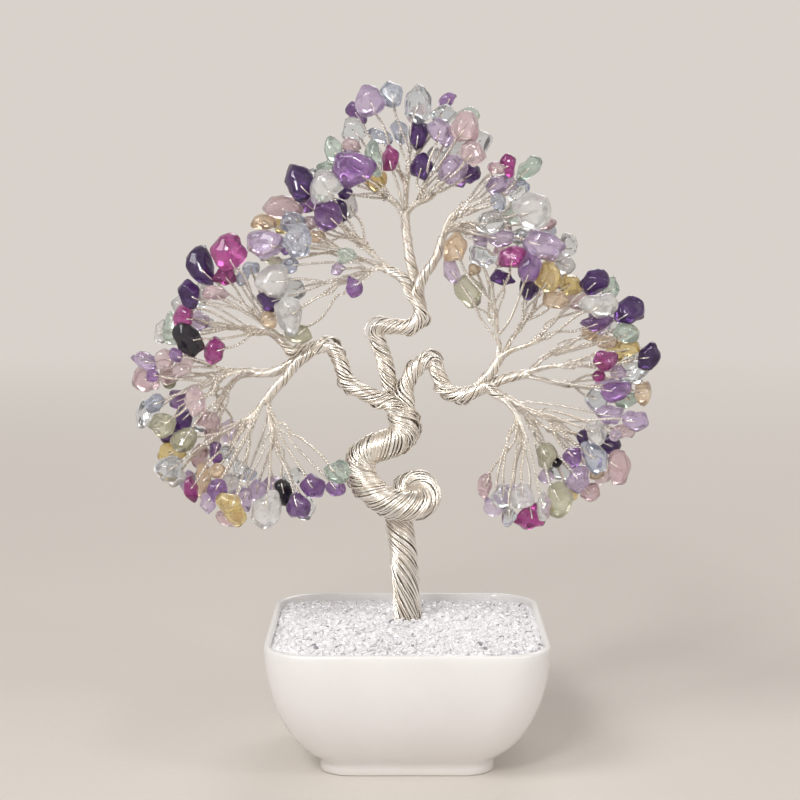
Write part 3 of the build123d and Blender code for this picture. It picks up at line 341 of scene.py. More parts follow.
stoneFinish = {  # body, deep and veil colour, share of veils and of bands, transmission, roughness
    "dark_amethyst": ((0.13, 0.045, 0.24), (0.035, 0.01, 0.08), (0.36, 0.26, 0.52), 0.22, 0.6, 0.6, 0.05),
    "amethyst": ((0.43, 0.22, 0.55), (0.18, 0.06, 0.28), (0.74, 0.63, 0.83), 0.45, 0.7, 0.74, 0.05),
    "lavender": ((0.76, 0.65, 0.82), (0.57, 0.44, 0.68), (0.93, 0.89, 0.94), 0.5, 0.5, 0.75, 0.06),
    "magenta": ((0.58, 0.08, 0.39), (0.32, 0.02, 0.21), (0.88, 0.55, 0.78), 0.3, 0.5, 0.74, 0.05),
    "rose_quartz": ((0.85, 0.71, 0.73), (0.72, 0.52, 0.56), (0.94, 0.88, 0.88), 0.5, 0.4, 0.72, 0.07),
    "clear_quartz": ((0.86, 0.89, 0.91), (0.68, 0.73, 0.78), (0.95, 0.95, 0.95), 0.35, 0.2, 0.93, 0.03),
    "milky_quartz": ((0.88, 0.88, 0.87), (0.74, 0.74, 0.75), (0.97, 0.96, 0.95), 0.6, 0.3, 0.72, 0.07),
    "green_fluorite": ((0.72, 0.81, 0.74), (0.50, 0.63, 0.55), (0.90, 0.94, 0.91), 0.5, 0.5, 0.8, 0.05),
    "blue_fluorite": ((0.66, 0.70, 0.80), (0.45, 0.50, 0.64), (0.88, 0.90, 0.94), 0.5, 0.5, 0.8, 0.05),
    "olive_quartz": ((0.71, 0.71, 0.56), (0.49, 0.49, 0.33), (0.88, 0.87, 0.77), 0.5, 0.5, 0.75, 0.06),
    "citrine": ((0.93, 0.80, 0.42), (0.82, 0.62, 0.22), (0.97, 0.93, 0.76), 0.45, 0.4, 0.78, 0.06),
    "peach": ((0.91, 0.79, 0.62), (0.80, 0.61, 0.42), (0.96, 0.91, 0.80), 0.45, 0.4, 0.72, 0.06),
    "onyx": ((0.018, 0.016, 0.022), (0.006, 0.005, 0.008), (0.10, 0.10, 0.12), 0.15, 0.2, 0.0, 0.06),
}
stonePolish = {"veilScale": 170.0, "bandScale": 55.0, "crackAndGapShadeShare": 0.25, "speckShare": 0.35, "dulling": 0.08,
               "bump": (0.05, 0.2 * mm), "ior": 1.52}


def makeStone(kind):
    look = stonePolish
    *colours, veilShare, bandShare, transmission, roughness = stoneFinish[kind]
    body, deep, veil = (colour(*tint) for tint in colours)
    material, tree, shader = newMaterial(kind + "_polish")
    scales = {"Tone": attributeOf(tree, "tone"), "Veil Scale": look["veilScale"], "Band Scale": look["bandScale"]}
    pattern = useGroup(tree, stoneGroup, scales)
    base = mixColours(tree, pattern["Shade"], deep, body)
    base = overlay(tree, pattern["Bands"], bandShare, base, deep)
    base = overlay(tree, pattern["Veils"], veilShare, base, veil)
    base = overlay(tree, pattern["Cracks"], look["crackAndGapShadeShare"] * veilShare, base, veil)
    base = overlay(tree, pattern["Specks"], look["speckShare"], base, deep)
    joinSockets(tree, shader, Base_Color=base,
                Roughness=spread(tree, pattern["Veils"], 0, 1, roughness, roughness + look["dulling"]),
                Normal=bumpFrom(tree, pattern["Veils"], *look["bump"]))
    shader.inputs["Transmission Weight"].default_value = transmission
    shader.inputs["IOR"].default_value = look["ior"]
    return material


grainFinish = {
    "white": colour(0.98, 0.975, 0.98), "dull": colour(0.90, 0.875, 0.91),
    "veil": colour(0.98, 0.98, 0.98), "veilShare": 0.5,
    "dark": colour(0.36, 0.34, 0.38), "darkFrom": (0.982, 0.99),  # tones of the few dark grains
    "veilScale": 420.0, "bandScale": 160.0, "roughness": (0, 1, 0.05, 0.2), "bump": (0.2, 0.1 * mm),
    "transmission": 0.12, "ior": 1.55,
}


def makeGrains():
    look = grainFinish
    material, tree, shader = newMaterial("quartzGrains")
    tone = attributeOf(tree, "tone")
    scales = {"Tone": tone, "Veil Scale": look["veilScale"], "Band Scale": look["bandScale"]}
    pattern = useGroup(tree, stoneGroup, scales)
    base = mixColours(tree, tone, look["white"], look["dull"])
    base = overlay(tree, pattern["Veils"], look["veilShare"], base, look["veil"])
    base = mixColours(tree, spread(tree, tone, *look["darkFrom"]), base, look["dark"])
    joinSockets(tree, shader, Base_Color=base, Roughness=spread(tree, pattern["Veils"], *look["roughness"]),
                Normal=bumpFrom(tree, pattern["Cracks"], *look["bump"]))
    shader.inputs["Transmission Weight"].default_value = look["transmission"]
    shader.inputs["IOR"].default_value = look["ior"]
    return material


bedFinish = {
    "dull": colour(0.90, 0.89, 0.91), "veil": colour(0.96, 0.955, 0.96),
    # painted shade: the cell edges darken like the gaps between crushed grains
    "gapShade": colour(0.78, 0.76, 0.80), "crackAndGapShadeShare": 0.3,
    "tone": 0.3, "veilScale": 300.0, "bandScale": 120.0, "roughness": (0, 1, 0.3, 0.5), "bump": (0.8, 0.6 * mm),
}


def makeBed():
    look = bedFinish
    material, tree, shader = newMaterial("quartzBed")
    scales = {"Tone": look["tone"], "Veil Scale": look["veilScale"], "Band Scale": look["bandScale"]}
    pattern = useGroup(tree, stoneGroup, scales)
    base = mixColours(tree, pattern["Veils"], look["dull"], look["veil"])
    # painted shade in the gaps between grains, at the cells' edges
    base = overlay(tree, pattern["Cracks"], look["crackAndGapShadeShare"], base, look["gapShade"])
    joinSockets(tree, shader, Base_Color=base, Roughness=spread(tree, pattern["Veils"], *look["roughness"]),
                Normal=bumpFrom(tree, pattern["Cracks"], *look["bump"]))
    return material


silver = makeWire()
print("finishes made")

bowlShape = {
    "rimHalf": 52 * mm, "height": 50 * mm, "wall": 2.3 * mm, "lipClear": 0.5 * mm, "lipSteps": 6,
    "footHalf": 32.2 * mm, "footHeight": 5.8 * mm, "footStep": 1.7 * mm, "footInset": 0.5 * mm,
    "footEdge": ((0.25 * mm, -0.1 * mm), (0.8 * mm, 0.1 * mm)),  # how high, and how far past the foot's side
    "bellyRadius": 48.5 * mm, "bellyRings": 18, "slopeStep": 0.01, "hollowSteps": 6,
    "corner": 11 * mm, "cornerSteps": 10, "smoothAngle": 40,
}
bellyStart = acos((bowlShape["height"] - bowlShape["footHeight"]) / bowlShape["bellyRadius"])


def bellyRow(angle, inset):  # height and half width on the belly's outside, or so far inside it
    low = bowlShape["footHalf"] + bowlShape["footStep"]
    reach = (bowlShape["rimHalf"] - low) / (1 - sin(bellyStart))
    half = bowlShape["rimHalf"] - reach * (1 - sin(angle))
    height = bowlShape["height"] - bowlShape["bellyRadius"] * cos(angle)
    across, down = sin(angle) / reach, cos(angle) / bowlShape["bellyRadius"]
    slant = sqrt(across * across + down * down)
    return height + inset * down / slant, half - inset * across / slant


def bellyRows(inset):
    count = bowlShape["bellyRings"]
    limit = bowlShape["height"] - bowlShape["wall"] / 2 - bowlShape["lipClear"]
    rows = [bellyRow(bellyStart + (pi / 2 - bellyStart) * k / count, inset) for k in range(1, count + 1)]
    return [row for row in rows if row[0] < limit]


def bowlRows():
    foot = bowlShape["footHalf"]
    rows = [(height, foot + out) for height, out in bowlShape["footEdge"]]
    low, high = bellyRow(bellyStart, 0), bellyRow(bellyStart + bowlShape["slopeStep"], 0)
    turning = atan2(high[1] - low[1], high[0] - low[0])  # a hollow curve runs from the foot into the belly
    hollow = bowlShape["footStep"] / (1 - cos(turning))
    for k in range(bowlShape["hollowSteps"] + 1):
        angle = turning * k / bowlShape["hollowSteps"]
        rows.append((low[0] - hollow * (sin(turning) - sin(angle)), foot + hollow * (1 - cos(angle))))
    rows += bellyRows(0)
    lipRound = bowlShape["wall"] / 2
    for k in range(bowlShape["lipSteps"] + 1):
        angle = pi * k / bowlShape["lipSteps"]
        rows.append((bowlShape["height"] - lipRound + lipRound * sin(angle),
                     bowlShape["rimHalf"] - lipRound + lipRound * cos(angle)))
    return rows + bellyRows(bowlShape["wall"])[::-1]


def buildBowl():
    foot = bowlShape["footHalf"] - bowlShape["footInset"]
    bpy.ops.mesh.primitive_plane_add(size=2 * foot, location=(0, 0, 0))
    bowl = bpy.context.object
    bowl.name = "glazed_bowl"
    selectOnly(bowl)
    bpy.ops.object.mode_set(mode="EDIT")
    bpy.ops.mesh.select_all(action="SELECT")
    bpy.ops.mesh.bevel(offset=bowlShape["corner"], segments=bowlShape["cornerSteps"], affect="VERTICES")
    height, half = 0.0, foot
    for newHeight, newHalf in bowlRows():
        bpy.ops.mesh.extrude_region_move(TRANSFORM_OT_translate={"value": (0, 0, newHeight - height)})
        share = newHalf / half
        bpy.ops.transform.resize(value=(share, share, 1), center_override=(0, 0, 0))
        height, half = newHeight, newHalf
    bpy.ops.mesh.select_all(action="SELECT")
    bpy.ops.mesh.normals_make_consistent(inside=False)
    bpy.ops.object.mode_set(mode="OBJECT")
    bpy.ops.object.shade_smooth_by_angle(angle=radians(bowlShape["smoothAngle"]))
    finishPiece(bowl, makeGlaze(), ["bowl"])


buildBowl()
giveMaterial(nodes["plaster_plug"], makePlaster())
print("bowl made")

shardShape = {"cuts": 4, "depth": (0.35, 0.7), "flatAngle": 12}
grainBed = {
    "count": 3900, "kinds": 6, "seed": 12, "size": (0.8 * mm, 1.65 * mm), "top": 60 * mm, "trunkClear": 4.6 * mm,
    "half": 49.5 * mm, "corner": 16.6 * mm,  # the rounded square that grains lie in
    "edge": 48.4 * mm, "edgeCorner": 16 * mm,  # grains past this one lie as high as the bed does at its edge
    "wallEvery": 6, "wallBand": 0.9 * mm, "push": 1.01, "pull": 0.004,  # every sixth grain goes to the wall
    "stretch": ((0.6, 1.2), (0.6, 1.2), (0.4, 0.8)), "tilt": 0.9, "lift": (-0.25, 0.45),
}


def makeShard(number, dice):
    bpy.ops.mesh.primitive_ico_sphere_add(subdivisions=1, radius=1)
    shard = bpy.context.object
    shard.name = f"shard{number}"
    bpy.ops.object.mode_set(mode="EDIT")
    for _ in range(shardShape["cuts"]):
        way = Vector((dice.uniform(-1, 1), dice.uniform(-1, 1), dice.uniform(-1, 1))).normalized()
        cut = way * dice.uniform(*shardShape["depth"])
        bpy.ops.mesh.select_all(action="SELECT")
        bpy.ops.mesh.bisect(plane_co=cut, plane_no=way, use_fill=True, clear_outer=True)
    bpy.ops.mesh.select_all(action="SELECT")
    bpy.ops.mesh.dissolve_limited(angle_limit=radians(shardShape["flatAngle"]))
    bpy.ops.mesh.normals_make_consistent(inside=False)
    bpy.ops.object.mode_set(mode="OBJECT")
    corners = np.array([corner.co for corner in shard.data.vertices])
    faces = [tuple(face.vertices) for face in shard.data.polygons]
    bpy.data.objects.remove(shard)
    return corners, faces


def beyond(x, y, half, corner):  # how far a place is outside a square with rounded corners
    across, along = abs(x) - half + corner, abs(y) - half + corner
    return sqrt(max(across, 0) ** 2 + max(along, 0) ** 2) + min(max(across, along), 0) - corner


def turnAbout(axis, angle):
    return Matrix.Rotation(angle, 3, axis)


def buildGrains():
    dice = random.Random(grainBed["seed"])
    shards = [makeShard(number, dice) for number in range(grainBed["kinds"])]
    bed = mergedMesh("crushed_quartz_bed")
    ground = BVHTree.FromBMesh(bed)
    bed.free()
    half, corner, tilt = grainBed["half"], grainBed["corner"], grainBed["tilt"]
    allCorners, allFaces, tones, first, made = [], [], [], 0, 0
    while made < grainBed["count"]:
        x, y = dice.uniform(-half, half), dice.uniform(-half, half)
        if beyond(x, y, half, corner) > 0 or x * x + y * y < grainBed["trunkClear"] ** 2:
            continue
        while made % grainBed["wallEvery"] == 0 and beyond(x, y, half, corner) < -grainBed["wallBand"]:
            x, y = x * grainBed["push"], y * grainBed["push"]
        share = 1
        while beyond(x * share, y * share, grainBed["edge"], grainBed["edgeCorner"]) > 0:
            share -= grainBed["pull"]
        hit = ground.ray_cast(Vector((x * share, y * share, grainBed["top"])), Vector((0, 0, -1)))[0]
        if hit is None:
            continue
        corners, faces = shards[made % len(shards)]
        size = dice.uniform(*grainBed["size"])
        stretch = Vector([dice.uniform(*limits) for limits in grainBed["stretch"]]) * size
        turn = turnAbout("Z", dice.uniform(0, 2 * pi)) @ turnAbout("X", dice.uniform(-tilt, tilt))
        turn = np.array(turn @ turnAbout("Z", dice.uniform(0, 2 * pi)))
        place = np.array((x, y, hit.z + dice.uniform(*grainBed["lift"]) * size))
        allCorners.append((corners * np.array(stretch)) @ turn.T + place)
        allFaces += [tuple(first + index for index in face) for face in faces]
        tones += [dice.random()] * len(corners)
        first += len(corners)
        made += 1
    mesh = bpy.data.meshes.new("quartz_grains")
    mesh.from_pydata(np.vstack(allCorners).tolist(), [], allFaces)
    grains = linkNew("quartz_grains", mesh)
    setShares(grains, "tone", tones)
    finishPiece(grains, makeGrains())


buildGrains()
giveMaterial(nodes["crushed_quartz_bed"], makeBed())
print("crushed quartz made")

stoneShape = {
    "flatAngle": 0.5, "bevelPercent": 13, "weld": 0.01 * mm, "dentDepth": 2.4 * mm, "dentSize": 4.6 * mm, "toneSeed": 5,
    "growth": ((2.4 * mm, 6.0 * mm), (1.25, 1.06)),  # small stones are filled out more than large ones
}
stoneList = []  # the middle and the skin of each stone, which the twigs look up


def reachOf(island):
    middle = middleOf(island)
    return middle, max((corner.co - middle).length for corner in island)


def fillOut(island, chips):
    middle, reach = reachOf(island)
    chipReach = min(chips, key=lambda chip: (chip[0] - middle).length)[1]
    wanted = chipReach * float(np.interp(chipReach, *stoneShape["growth"]))
    for corner in island:  # rounding shrinks a stone, so it is filled out again
        corner.co = middle + (corner.co - middle) * (wanted / reach)
    for axis in range(3):  # and it stays within the solid part's reach
        low = min(corner.co[axis] for corner in island)
        high = max(corner.co[axis] for corner in island)
        move = max(0, cadBox[0][axis] - low) - max(0, high - cadBox[1][axis])
        for corner in island:
            corner.co[axis] += move


def skinOf(island):
    members = {corner: number for number, corner in enumerate(island)}
    faces = sorted({face for corner in island for face in corner.link_faces}, key=lambda face: face.index)
    loops = [[members[corner] for corner in face.verts] for face in faces]
    return BVHTree.FromPolygons([corner.co.copy() for corner in island], loops)


def buildStones(kind, dice):
    solid = mergedMesh(kind + "_chips")
    chips = [reachOf(island) for island in islandsOf(solid)]
    solid.free()
    stones = linkNew(kind + "_stones", nodes[kind + "_chips"].data.copy())
    selectOnly(stones)
    bpy.ops.object.mode_set(mode="EDIT")
    bpy.ops.mesh.select_all(action="SELECT")
    bpy.ops.mesh.remove_doubles(threshold=weldGap)
    bpy.ops.mesh.dissolve_limited(angle_limit=radians(stoneShape["flatAngle"]))
    bpy.ops.mesh.select_all(action="SELECT")
    bpy.ops.mesh.bevel(offset_type="PERCENT", offset_pct=stoneShape["bevelPercent"], segments=1, affect="EDGES")
    bpy.ops.mesh.select_all(action="SELECT")
    bpy.ops.mesh.remove_doubles(threshold=stoneShape["weld"])
    bpy.ops.mesh.normals_make_consistent(inside=False)
    bpy.ops.object.mode_set(mode="OBJECT")
    applyModifier(stones, "SUBSURF", levels=1, render_levels=1)
    dents = bpy.data.textures.new(kind + "_dents", "CLOUDS")
    dents.noise_scale = stoneShape["dentSize"]
    dents.noise_depth = 1
    applyModifier(stones, "DISPLACE", texture=dents, texture_coords="LOCAL", mid_level=0.5,
                  strength=stoneShape["dentDepth"])
    bpy.ops.object.shade_smooth()
    shape = bmesh.new()
    shape.from_mesh(stones.data)
    shape.verts.index_update()
    tones = np.zeros(len(shape.verts))
    for island in islandsOf(shape):
        fillOut(island, chips)
        tones[[corner.index for corner in island]] = dice.random()
        stoneList.append((middleOf(island), skinOf(island)))
    shape.to_mesh(stones.data)
    shape.free()
    setShares(stones, "tone", tones)
    finishPiece(stones, makeStone(kind), [kind + "_chips"])


stoneDice = random.Random(stoneShape["toneSeed"])
for kind in stoneFinish:
    buildStones(kind, stoneDice)
print("stones made:", len(stoneList))

# Bundles of laid wires. A lay is shares of the way up and degrees from the axis. A swell keeps the wires a little
# off their solid, and a tuck is the length over which the end thins.
trunkLay = ((0, 0.34, 0.42, 0.62, 0.8, 1), (22, 28, 50, 56, 58, 56))
# the last value of each kind sets how strong the painted shade between its wires is
bundleShape = {
    "trunk": {"corners": 14, "strands": 45, "wire": 0.34 * mm, "step": 1.4 * mm, "lay": trunkLay,
              "swell": 1.07, "loose": 0.5 * mm, "loops": 1.2 * mm, "tuck": 4 * mm, "grooveShade": 1.0},
    "limb": {"corners": 10, "strands": 22, "wire": 0.34 * mm, "step": 1.0 * mm, "lay": ((0, 1), (42, 42)),
             "swell": 1.18, "loose": 0.4 * mm, "loops": 2.6 * mm, "tuck": 2.5 * mm, "grooveShade": 0.95},
    "branch": {"corners": 6, "strands": 14, "wire": 0.31 * mm, "step": 0.8 * mm, "lay": ((0, 1), (38, 38)),
               "swell": 1.28, "loose": 0.25 * mm, "loops": 0.7 * mm, "tuck": 1.6 * mm, "grooveShade": 0.75},
    "stem": {"corners": 5, "strands": 7, "wire": 0.29 * mm, "step": 0.7 * mm, "lay": ((0, 1), (34, 34)),
             "swell": 1.14, "loose": 0.15 * mm, "loops": 0.2 * mm, "tuck": 2.4 * mm, "grooveShade": 0.25},
}
seatShape = {
    "sink": 2.2, "sinkWidth": 0.9, "aside": 0.45,  # where a bundle starts inside the one below, in shares
    "overrun": 1.2 * mm, "tuckedWidth": 0.45, "flatAngle": 0.4,
}
strandShape = {
    "seed": 31, "coreWires": 2.0, "coreLoose": 0.9, "thinnestCore": 0.3, "thinnest": 0.1,
    "clumps": 7, "clumpShare": 0.3,  # strands lie deeper between the clumps
    "drift": (0.1, 11 * mm), "slow": (0.5, 5 * mm), "quick": (0.3, 2.3 * mm), "loop": (0.25, 1.7 * mm),  # waves
    "bendGain": 2.6, "bendPower": 1.5,  # how soon loops stand out on the outside of a bend
    "grooveShadeFrom": 0.5, "grooveShadeOver": 0.9,  # painted shade: a wire darkens from its outside to where it meets its neighbours, and the core darkens too
}


def ringsOf(node, corners, near):  # the middles and widths of a solid's rings, from the end that is near a place
    mesh = mergedMesh(node)
    bmesh.ops.dissolve_limit(mesh, angle_limit=radians(seatShape["flatAngle"]), verts=mesh.verts, edges=mesh.edges)
    caps = [face for face in mesh.faces if len(face.verts) == corners]
    cap = min(caps, key=lambda face: (face.calc_center_median() - near).length)
    level, seen, rings = set(cap.verts), set(cap.verts), []
    while level:
        ring = sorted(level, key=lambda corner: corner.index)
        middle = middleOf(ring)
        rings.append((middle, max((corner.co - middle).length for corner in ring)))
        level = {link.other_vert(corner) for corner in ring for link in corner.link_edges} - seen
        seen |= level
    mesh.free()
    return rings


def smoothLine(rings, step):
    spots = np.array([spot for spot, _ in rings])
    sizes = np.array([size for _, size in rings])
    spots = np.vstack([2 * spots[0] - spots[1], spots, 2 * spots[-1] - spots[-2]])
    line, widths = [], []
    for k in range(len(rings) - 1):
        before, here, after, later = spots[k:k + 4]
        count = max(1, round(float(np.linalg.norm(after - here)) / step))
        for part in range(count):
            t = part / count
            line.append(0.5 * (2 * here + (after - before) * t + (2 * before - 5 * here + 4 * after - later) * t * t
                               + (3 * here - before - 3 * after + later) * t ** 3))
            widths.append(sizes[k] * (1 - t) + sizes[k + 1] * t)
    line.append(spots[-2])
    widths.append(sizes[-1])
    return np.array(line), np.array(widths)


def framesOf(line):
    tangents = np.gradient(line, axis=0)
    tangents /= np.linalg.norm(tangents, axis=1)[:, None]
    side = np.cross(tangents[0], (0, 1, 0))
    sides = []
    for tangent in tangents:
        side = side - tangent * side.dot(tangent)
        side /= np.linalg.norm(side)
        sides.append(side)
    sides = np.array(sides)
    return tangents, sides, np.cross(tangents, sides)


def wave(travelled, sizes, phase):
    height, length = sizes
    return height * np.sin(travelled / length + phase)


def layStrands(line, widths, kind, dice):  # each strand is its points, how thick it is and which way is outward
    shape, look = bundleShape[kind], strandShape
    count, wire, loose = shape["strands"], shape["wire"], shape["loose"]
    tangents, sides, others = framesOf(line)
    steps, travelled = travelAlong(line)
    lays = np.interp(travelled / travelled[-1], *shape["lay"])
    turning = -np.tan(np.radians(lays)) / np.maximum(widths - wire, wire)
    turn = np.concatenate([[0], np.cumsum(steps * (turning[1:] + turning[:-1]) / 2)])
    bends = np.gradient(tangents, axis=0) / np.gradient(travelled)[:, None]
    core = np.maximum(widths - look["coreWires"] * wire - look["coreLoose"] * loose, look["thinnestCore"] * wire)
    strands = [(line, core / wire, np.zeros_like(line))]
    for k in range(count):
        phases = [dice.uniform(0, 2 * pi) for _ in range(4)]
        stray = dice.random() ** 2
        clump = (1 - cos(look["clumps"] * 2 * pi * k / count)) / 2
        deep = look["clumpShare"] * clump + (1 - look["clumpShare"]) * dice.random()
        angle = 2 * pi * k / count + turn + wave(travelled, look["drift"], phases[0])
        outward = sides * np.cos(angle)[:, None] + others * np.sin(angle)[:, None]
        outside = np.clip(-(outward * bends).sum(axis=1) * widths * look["bendGain"], 0, 1) ** look["bendPower"]
        reach = widths - wire - deep * loose
        reach += loose * (wave(travelled, look["slow"], phases[1]) + wave(travelled, look["quick"], phases[2]))
        loops = 1 - look["loop"][0] + wave(travelled, look["loop"], phases[3])
        reach += shape["loops"] * stray * outside * loops  # stray loops stand out where the bundle bends
        spots = line + outward * np.maximum(reach, look["thinnest"] * wire)[:, None]
        strands.append((spots, np.ones(len(line)), outward))
    return strands


def wirePiece(name, strands, radius, sides, grooveShade, dice):
    curve = bpy.data.curves.new(name, "CURVE")
    curve.dimensions = "3D"
    curve.fill_mode = "FULL"
    curve.bevel_depth = radius
    curve.bevel_resolution = sides
    tones = []
    for points, shares, _ in strands:
        spline = curve.splines.new("POLY")
        spline.points.add(len(points) - 1)
        flat = np.ones((len(points), 4), dtype=np.float32)
        flat[:, :3] = points
        spline.points.foreach_set("co", flat.ravel())
        spline.points.foreach_set("radius", np.asarray(shares, dtype=np.float32))
        tones += [dice.random()] * len(points)
    piece = linkNew(name, curve)
    selectOnly(piece)
    bpy.ops.object.convert(target="MESH")
    around = len(piece.data.vertices) // len(tones)
    skin = np.empty(len(tones) * around * 3, dtype=np.float32)
    piece.data.vertices.foreach_get("co", skin)
    centres, ways = (np.vstack([strand[part] for strand in strands])[:, None] for part in (0, 2))
    radii = radius * np.concatenate([shares for _, shares, _ in strands])[:, None]
    facing = ((skin.reshape(len(tones), around, 3) - centres) * ways).sum(axis=2) / radii
    setShares(piece, "tone", np.repeat(tones, around))
    # painted shade: corners that face into the bundle, away from its outside, get a darker share
    setShares(piece, "grooveShade", grooveShade * np.clip((strandShape["grooveShadeFrom"] - facing) / strandShape["grooveShadeOver"], 0, 1))
    bpy.ops.object.mode_set(mode="EDIT")
    bpy.ops.mesh.select_all(action="SELECT")
    bpy.ops.mesh.fill_holes(sides=around)  # closes the ends of every wire
    bpy.ops.mesh.select_all(action="SELECT")
    bpy.ops.mesh.normals_make_consistent(inside=False)
    bpy.ops.object.mode_set(mode="OBJECT")
    bpy.ops.object.shade_smooth()
    return piece


def seatedRings(node, corners, level):  # rings that start inside the bundle below, at the tip that is nearest
    found = []
    for spot, way in tips[level]:
        rings = ringsOf(node, corners, spot)
        found.append(((rings[0][0] - spot).length, rings, spot, way))
    _, rings, spot, way = min(found, key=lambda row: row[0])
    middle, size = rings[0]
    start = spot - way * size * seatShape["sink"] + (middle - spot) * seatShape["aside"]
    return [(start, size * seatShape["sinkWidth"])] + rings


def buildBundle(node, kind, level, dice):
    shape = bundleShape[kind]
    rings = seatedRings(node, shape["corners"], level) if level else ringsOf(node, shape["corners"], Vector())
    tip, width = rings[-1]
    way = (tip - rings[-2][0]).normalized()
    tips[kind].append((tip, way))
    if kind != "stem":
        rings = rings + [(tip + way * seatShape["overrun"], width)]
    line, widths = smoothLine(rings, shape["step"])
    _, travelled = travelAlong(line)
    left = travelled[-1] - travelled
    tucked = np.interp(left, (0, shape["tuck"]), (seatShape["tuckedWidth"], 1))
    return rings, layStrands(line, widths * shape["swell"] * tucked, kind, dice)


tips = {kind: [] for kind in bundleShape}
wireDice = random.Random(strandShape["seed"])
limbNodes = sorted(name for name in nodes if name.endswith("_limb"))
branchNodes = sorted(name for name in nodes if name.endswith("_branch"))
sprayNodes = sorted(name for name in nodes if "_spray_" in name)
for kind, level, members in (("trunk", None, ["trunk"]), ("limb", "trunk", limbNodes), ("branch", "limb", branchNodes)):
    shape = bundleShape[kind]
    for name in members:
        strands = buildBundle(name, kind, level, wireDice)[1]
        piece = wirePiece(name + "_wires", strands, shape["wire"], 1, shape["grooveShade"], wireDice)
        finishPiece(piece, silver, [name])
print("trunk, limbs and branches made")

# Twigs. Each is one fine wire, twisted on itself, that parts over its stone and goes into the drilled hole.
twigShape = {
    "radius": bundleShape["stem"]["wire"], "turn": 0.33 * mm, "pitch": 2.4 * mm, "pitchRange": (0.9, 1.15),
    "step": 0.4 * mm, "corners": 12, "ringEdge": 0.7 * mm,
    "bend": 0.055, "weave": 0.045,  # shares of the twig's length
    "sink": 2.2 * mm, "sinkAside": 0.3, "entry": 0.65, "entryBack": 0.4 * mm, "entryOn": 1.2 * mm,
    "lastStraight": 0.78, "lastElbow": 0.4,  # how far along its last stretch a gathered twig is on its own line
}
gatherShape = {  # how many neighbours run together, how like their ways are, and how far they stay together
    "most": 3, "apart": 0.62, "footApart": 4.5 * mm, "share": (0.32, 0.5), "radius": 0.48 * mm, "pitch": 7 * mm,
    "parts": 4,
}
hookShape = {
    "search": 10 * mm, "cast": 12 * mm, "shares": (0.15, 0.35, 0.55, 0.75, 0.9),
    "lift": 0.7, "holeLift": 0.4,  # how far off the stone, in radii of the wire
    "open": 0.5, "spread": 2,  # before the stone begins, the two wires part
    "holeOn": (0.1 * mm, 0.25 * mm), "holeDepth": 0.5 * mm,
}


def nearestOn(rings, spot):
    best = None
    for (before, _), (after, _) in zip(rings, rings[1:]):
        way = after - before
        share = min(max((spot - before).dot(way) / way.length_squared, 0), 1)
        point = before + way * share
        if best is None or (point - spot).length < best[0]:
            best = ((point - spot).length, point, way.normalized())
    return best


def twigRoutes(node, stemRings):  # for each twig its start, its elbow if there is one, and its tip
    mesh = mergedMesh(node)
    routes = []
    for island in islandsOf(mesh):
        if len(island) > twigShape["corners"]:
            continue
        seen, middles = set(), []
        for corner in island:
            if corner not in seen:
                ring = grow(corner, twigShape["ringEdge"])
                seen.update(ring)
                middles.append(middleOf(ring))
        pairs = [(a, b) for a in middles for b in middles if a is not b]
        start, tip = max(pairs, key=lambda pair: (pair[0] - pair[1]).length)
        if nearestOn(stemRings, tip)[0] < nearestOn(stemRings, start)[0]:
            start, tip = tip, start
        routes.append([start] + [spot for spot in middles if spot is not start and spot is not tip] + [tip])
    mesh.free()
    return routes


def stoneFor(tip, way):
    best = None
    for middle, skin in stoneList:
        along = (middle - tip).dot(way)
        if 0 < along < hookShape["search"]:
            aside = (middle - tip - way * along).length
            if best is None or aside < best[0]:
                best = (aside, middle, skin)
    return best


def hookOver(tip, way, middle, skin, face):  # a wire's way over one side of the stone and into its hole
    wire = twigShape["radius"]
    reach = (middle - tip).length
    cast = face * hookShape["cast"]
    points = []
    for share in hookShape["shares"]:
        spot = tip + way * (reach * share)
        hit = skin.ray_cast(spot + cast, -face)[0]
        if hit is not None:
            points.append(hit + face * wire * hookShape["lift"])
        elif share < hookShape["open"]:
            points.append(spot + face * wire * (1 + hookShape["spread"] * share))
    hit = skin.ray_cast(middle + cast, -face)[0] or middle
    rimOn, holeOn = hookShape["holeOn"]
    points.append(hit + face * wire * hookShape["holeLift"] + way * rimOn)
    points.append(hit - face * hookShape["holeDepth"] + way * holeOn)
    return points


def gatherTwigs(routes, stemRings, dice):  # twigs that part late run together first, wound round each other
    loose = []
    for route in routes:
        foot = nearestOn(stemRings, route[0])[1]
        loose.append((route, foot, (route[-1] - foot).normalized()))
    rows = []
    while loose:
        first = loose.pop(0)
        near = sorted(loose, key=lambda row: (row[2] - first[2]).length)
        near = [row for row in near if (row[2] - first[2]).length < gatherShape["apart"]
                and (row[1] - first[1]).length < gatherShape["footApart"]]
        group = [first] + near[:gatherShape["most"] - 1]
        loose = [row for row in loose if not any(row is other for other in group)]
        foot = sum((row[1] for row in group), Vector()) / len(group)
        way = sum((row[2] for row in group), Vector()).normalized()
        reach = min((row[0][-1] - foot).length for row in group) * dice.uniform(*gatherShape["share"])
        side = way.cross(Vector((0, 1, 0))).normalized()
        other = way.cross(side)
        parts = [part / gatherShape["parts"] for part in range(1, gatherShape["parts"] + 1)]
        for k, row in enumerate(group):
            shared = []
            for part in parts if len(group) > 1 else ():
                angle = 2 * pi * (k / len(group) - reach / gatherShape["pitch"] * part)
                offset = (side * cos(angle) + other * sin(angle)) * gatherShape["radius"]
                shared.append(foot + way * (reach * part) + offset)
            rows.append((row[0], shared))
    return rows


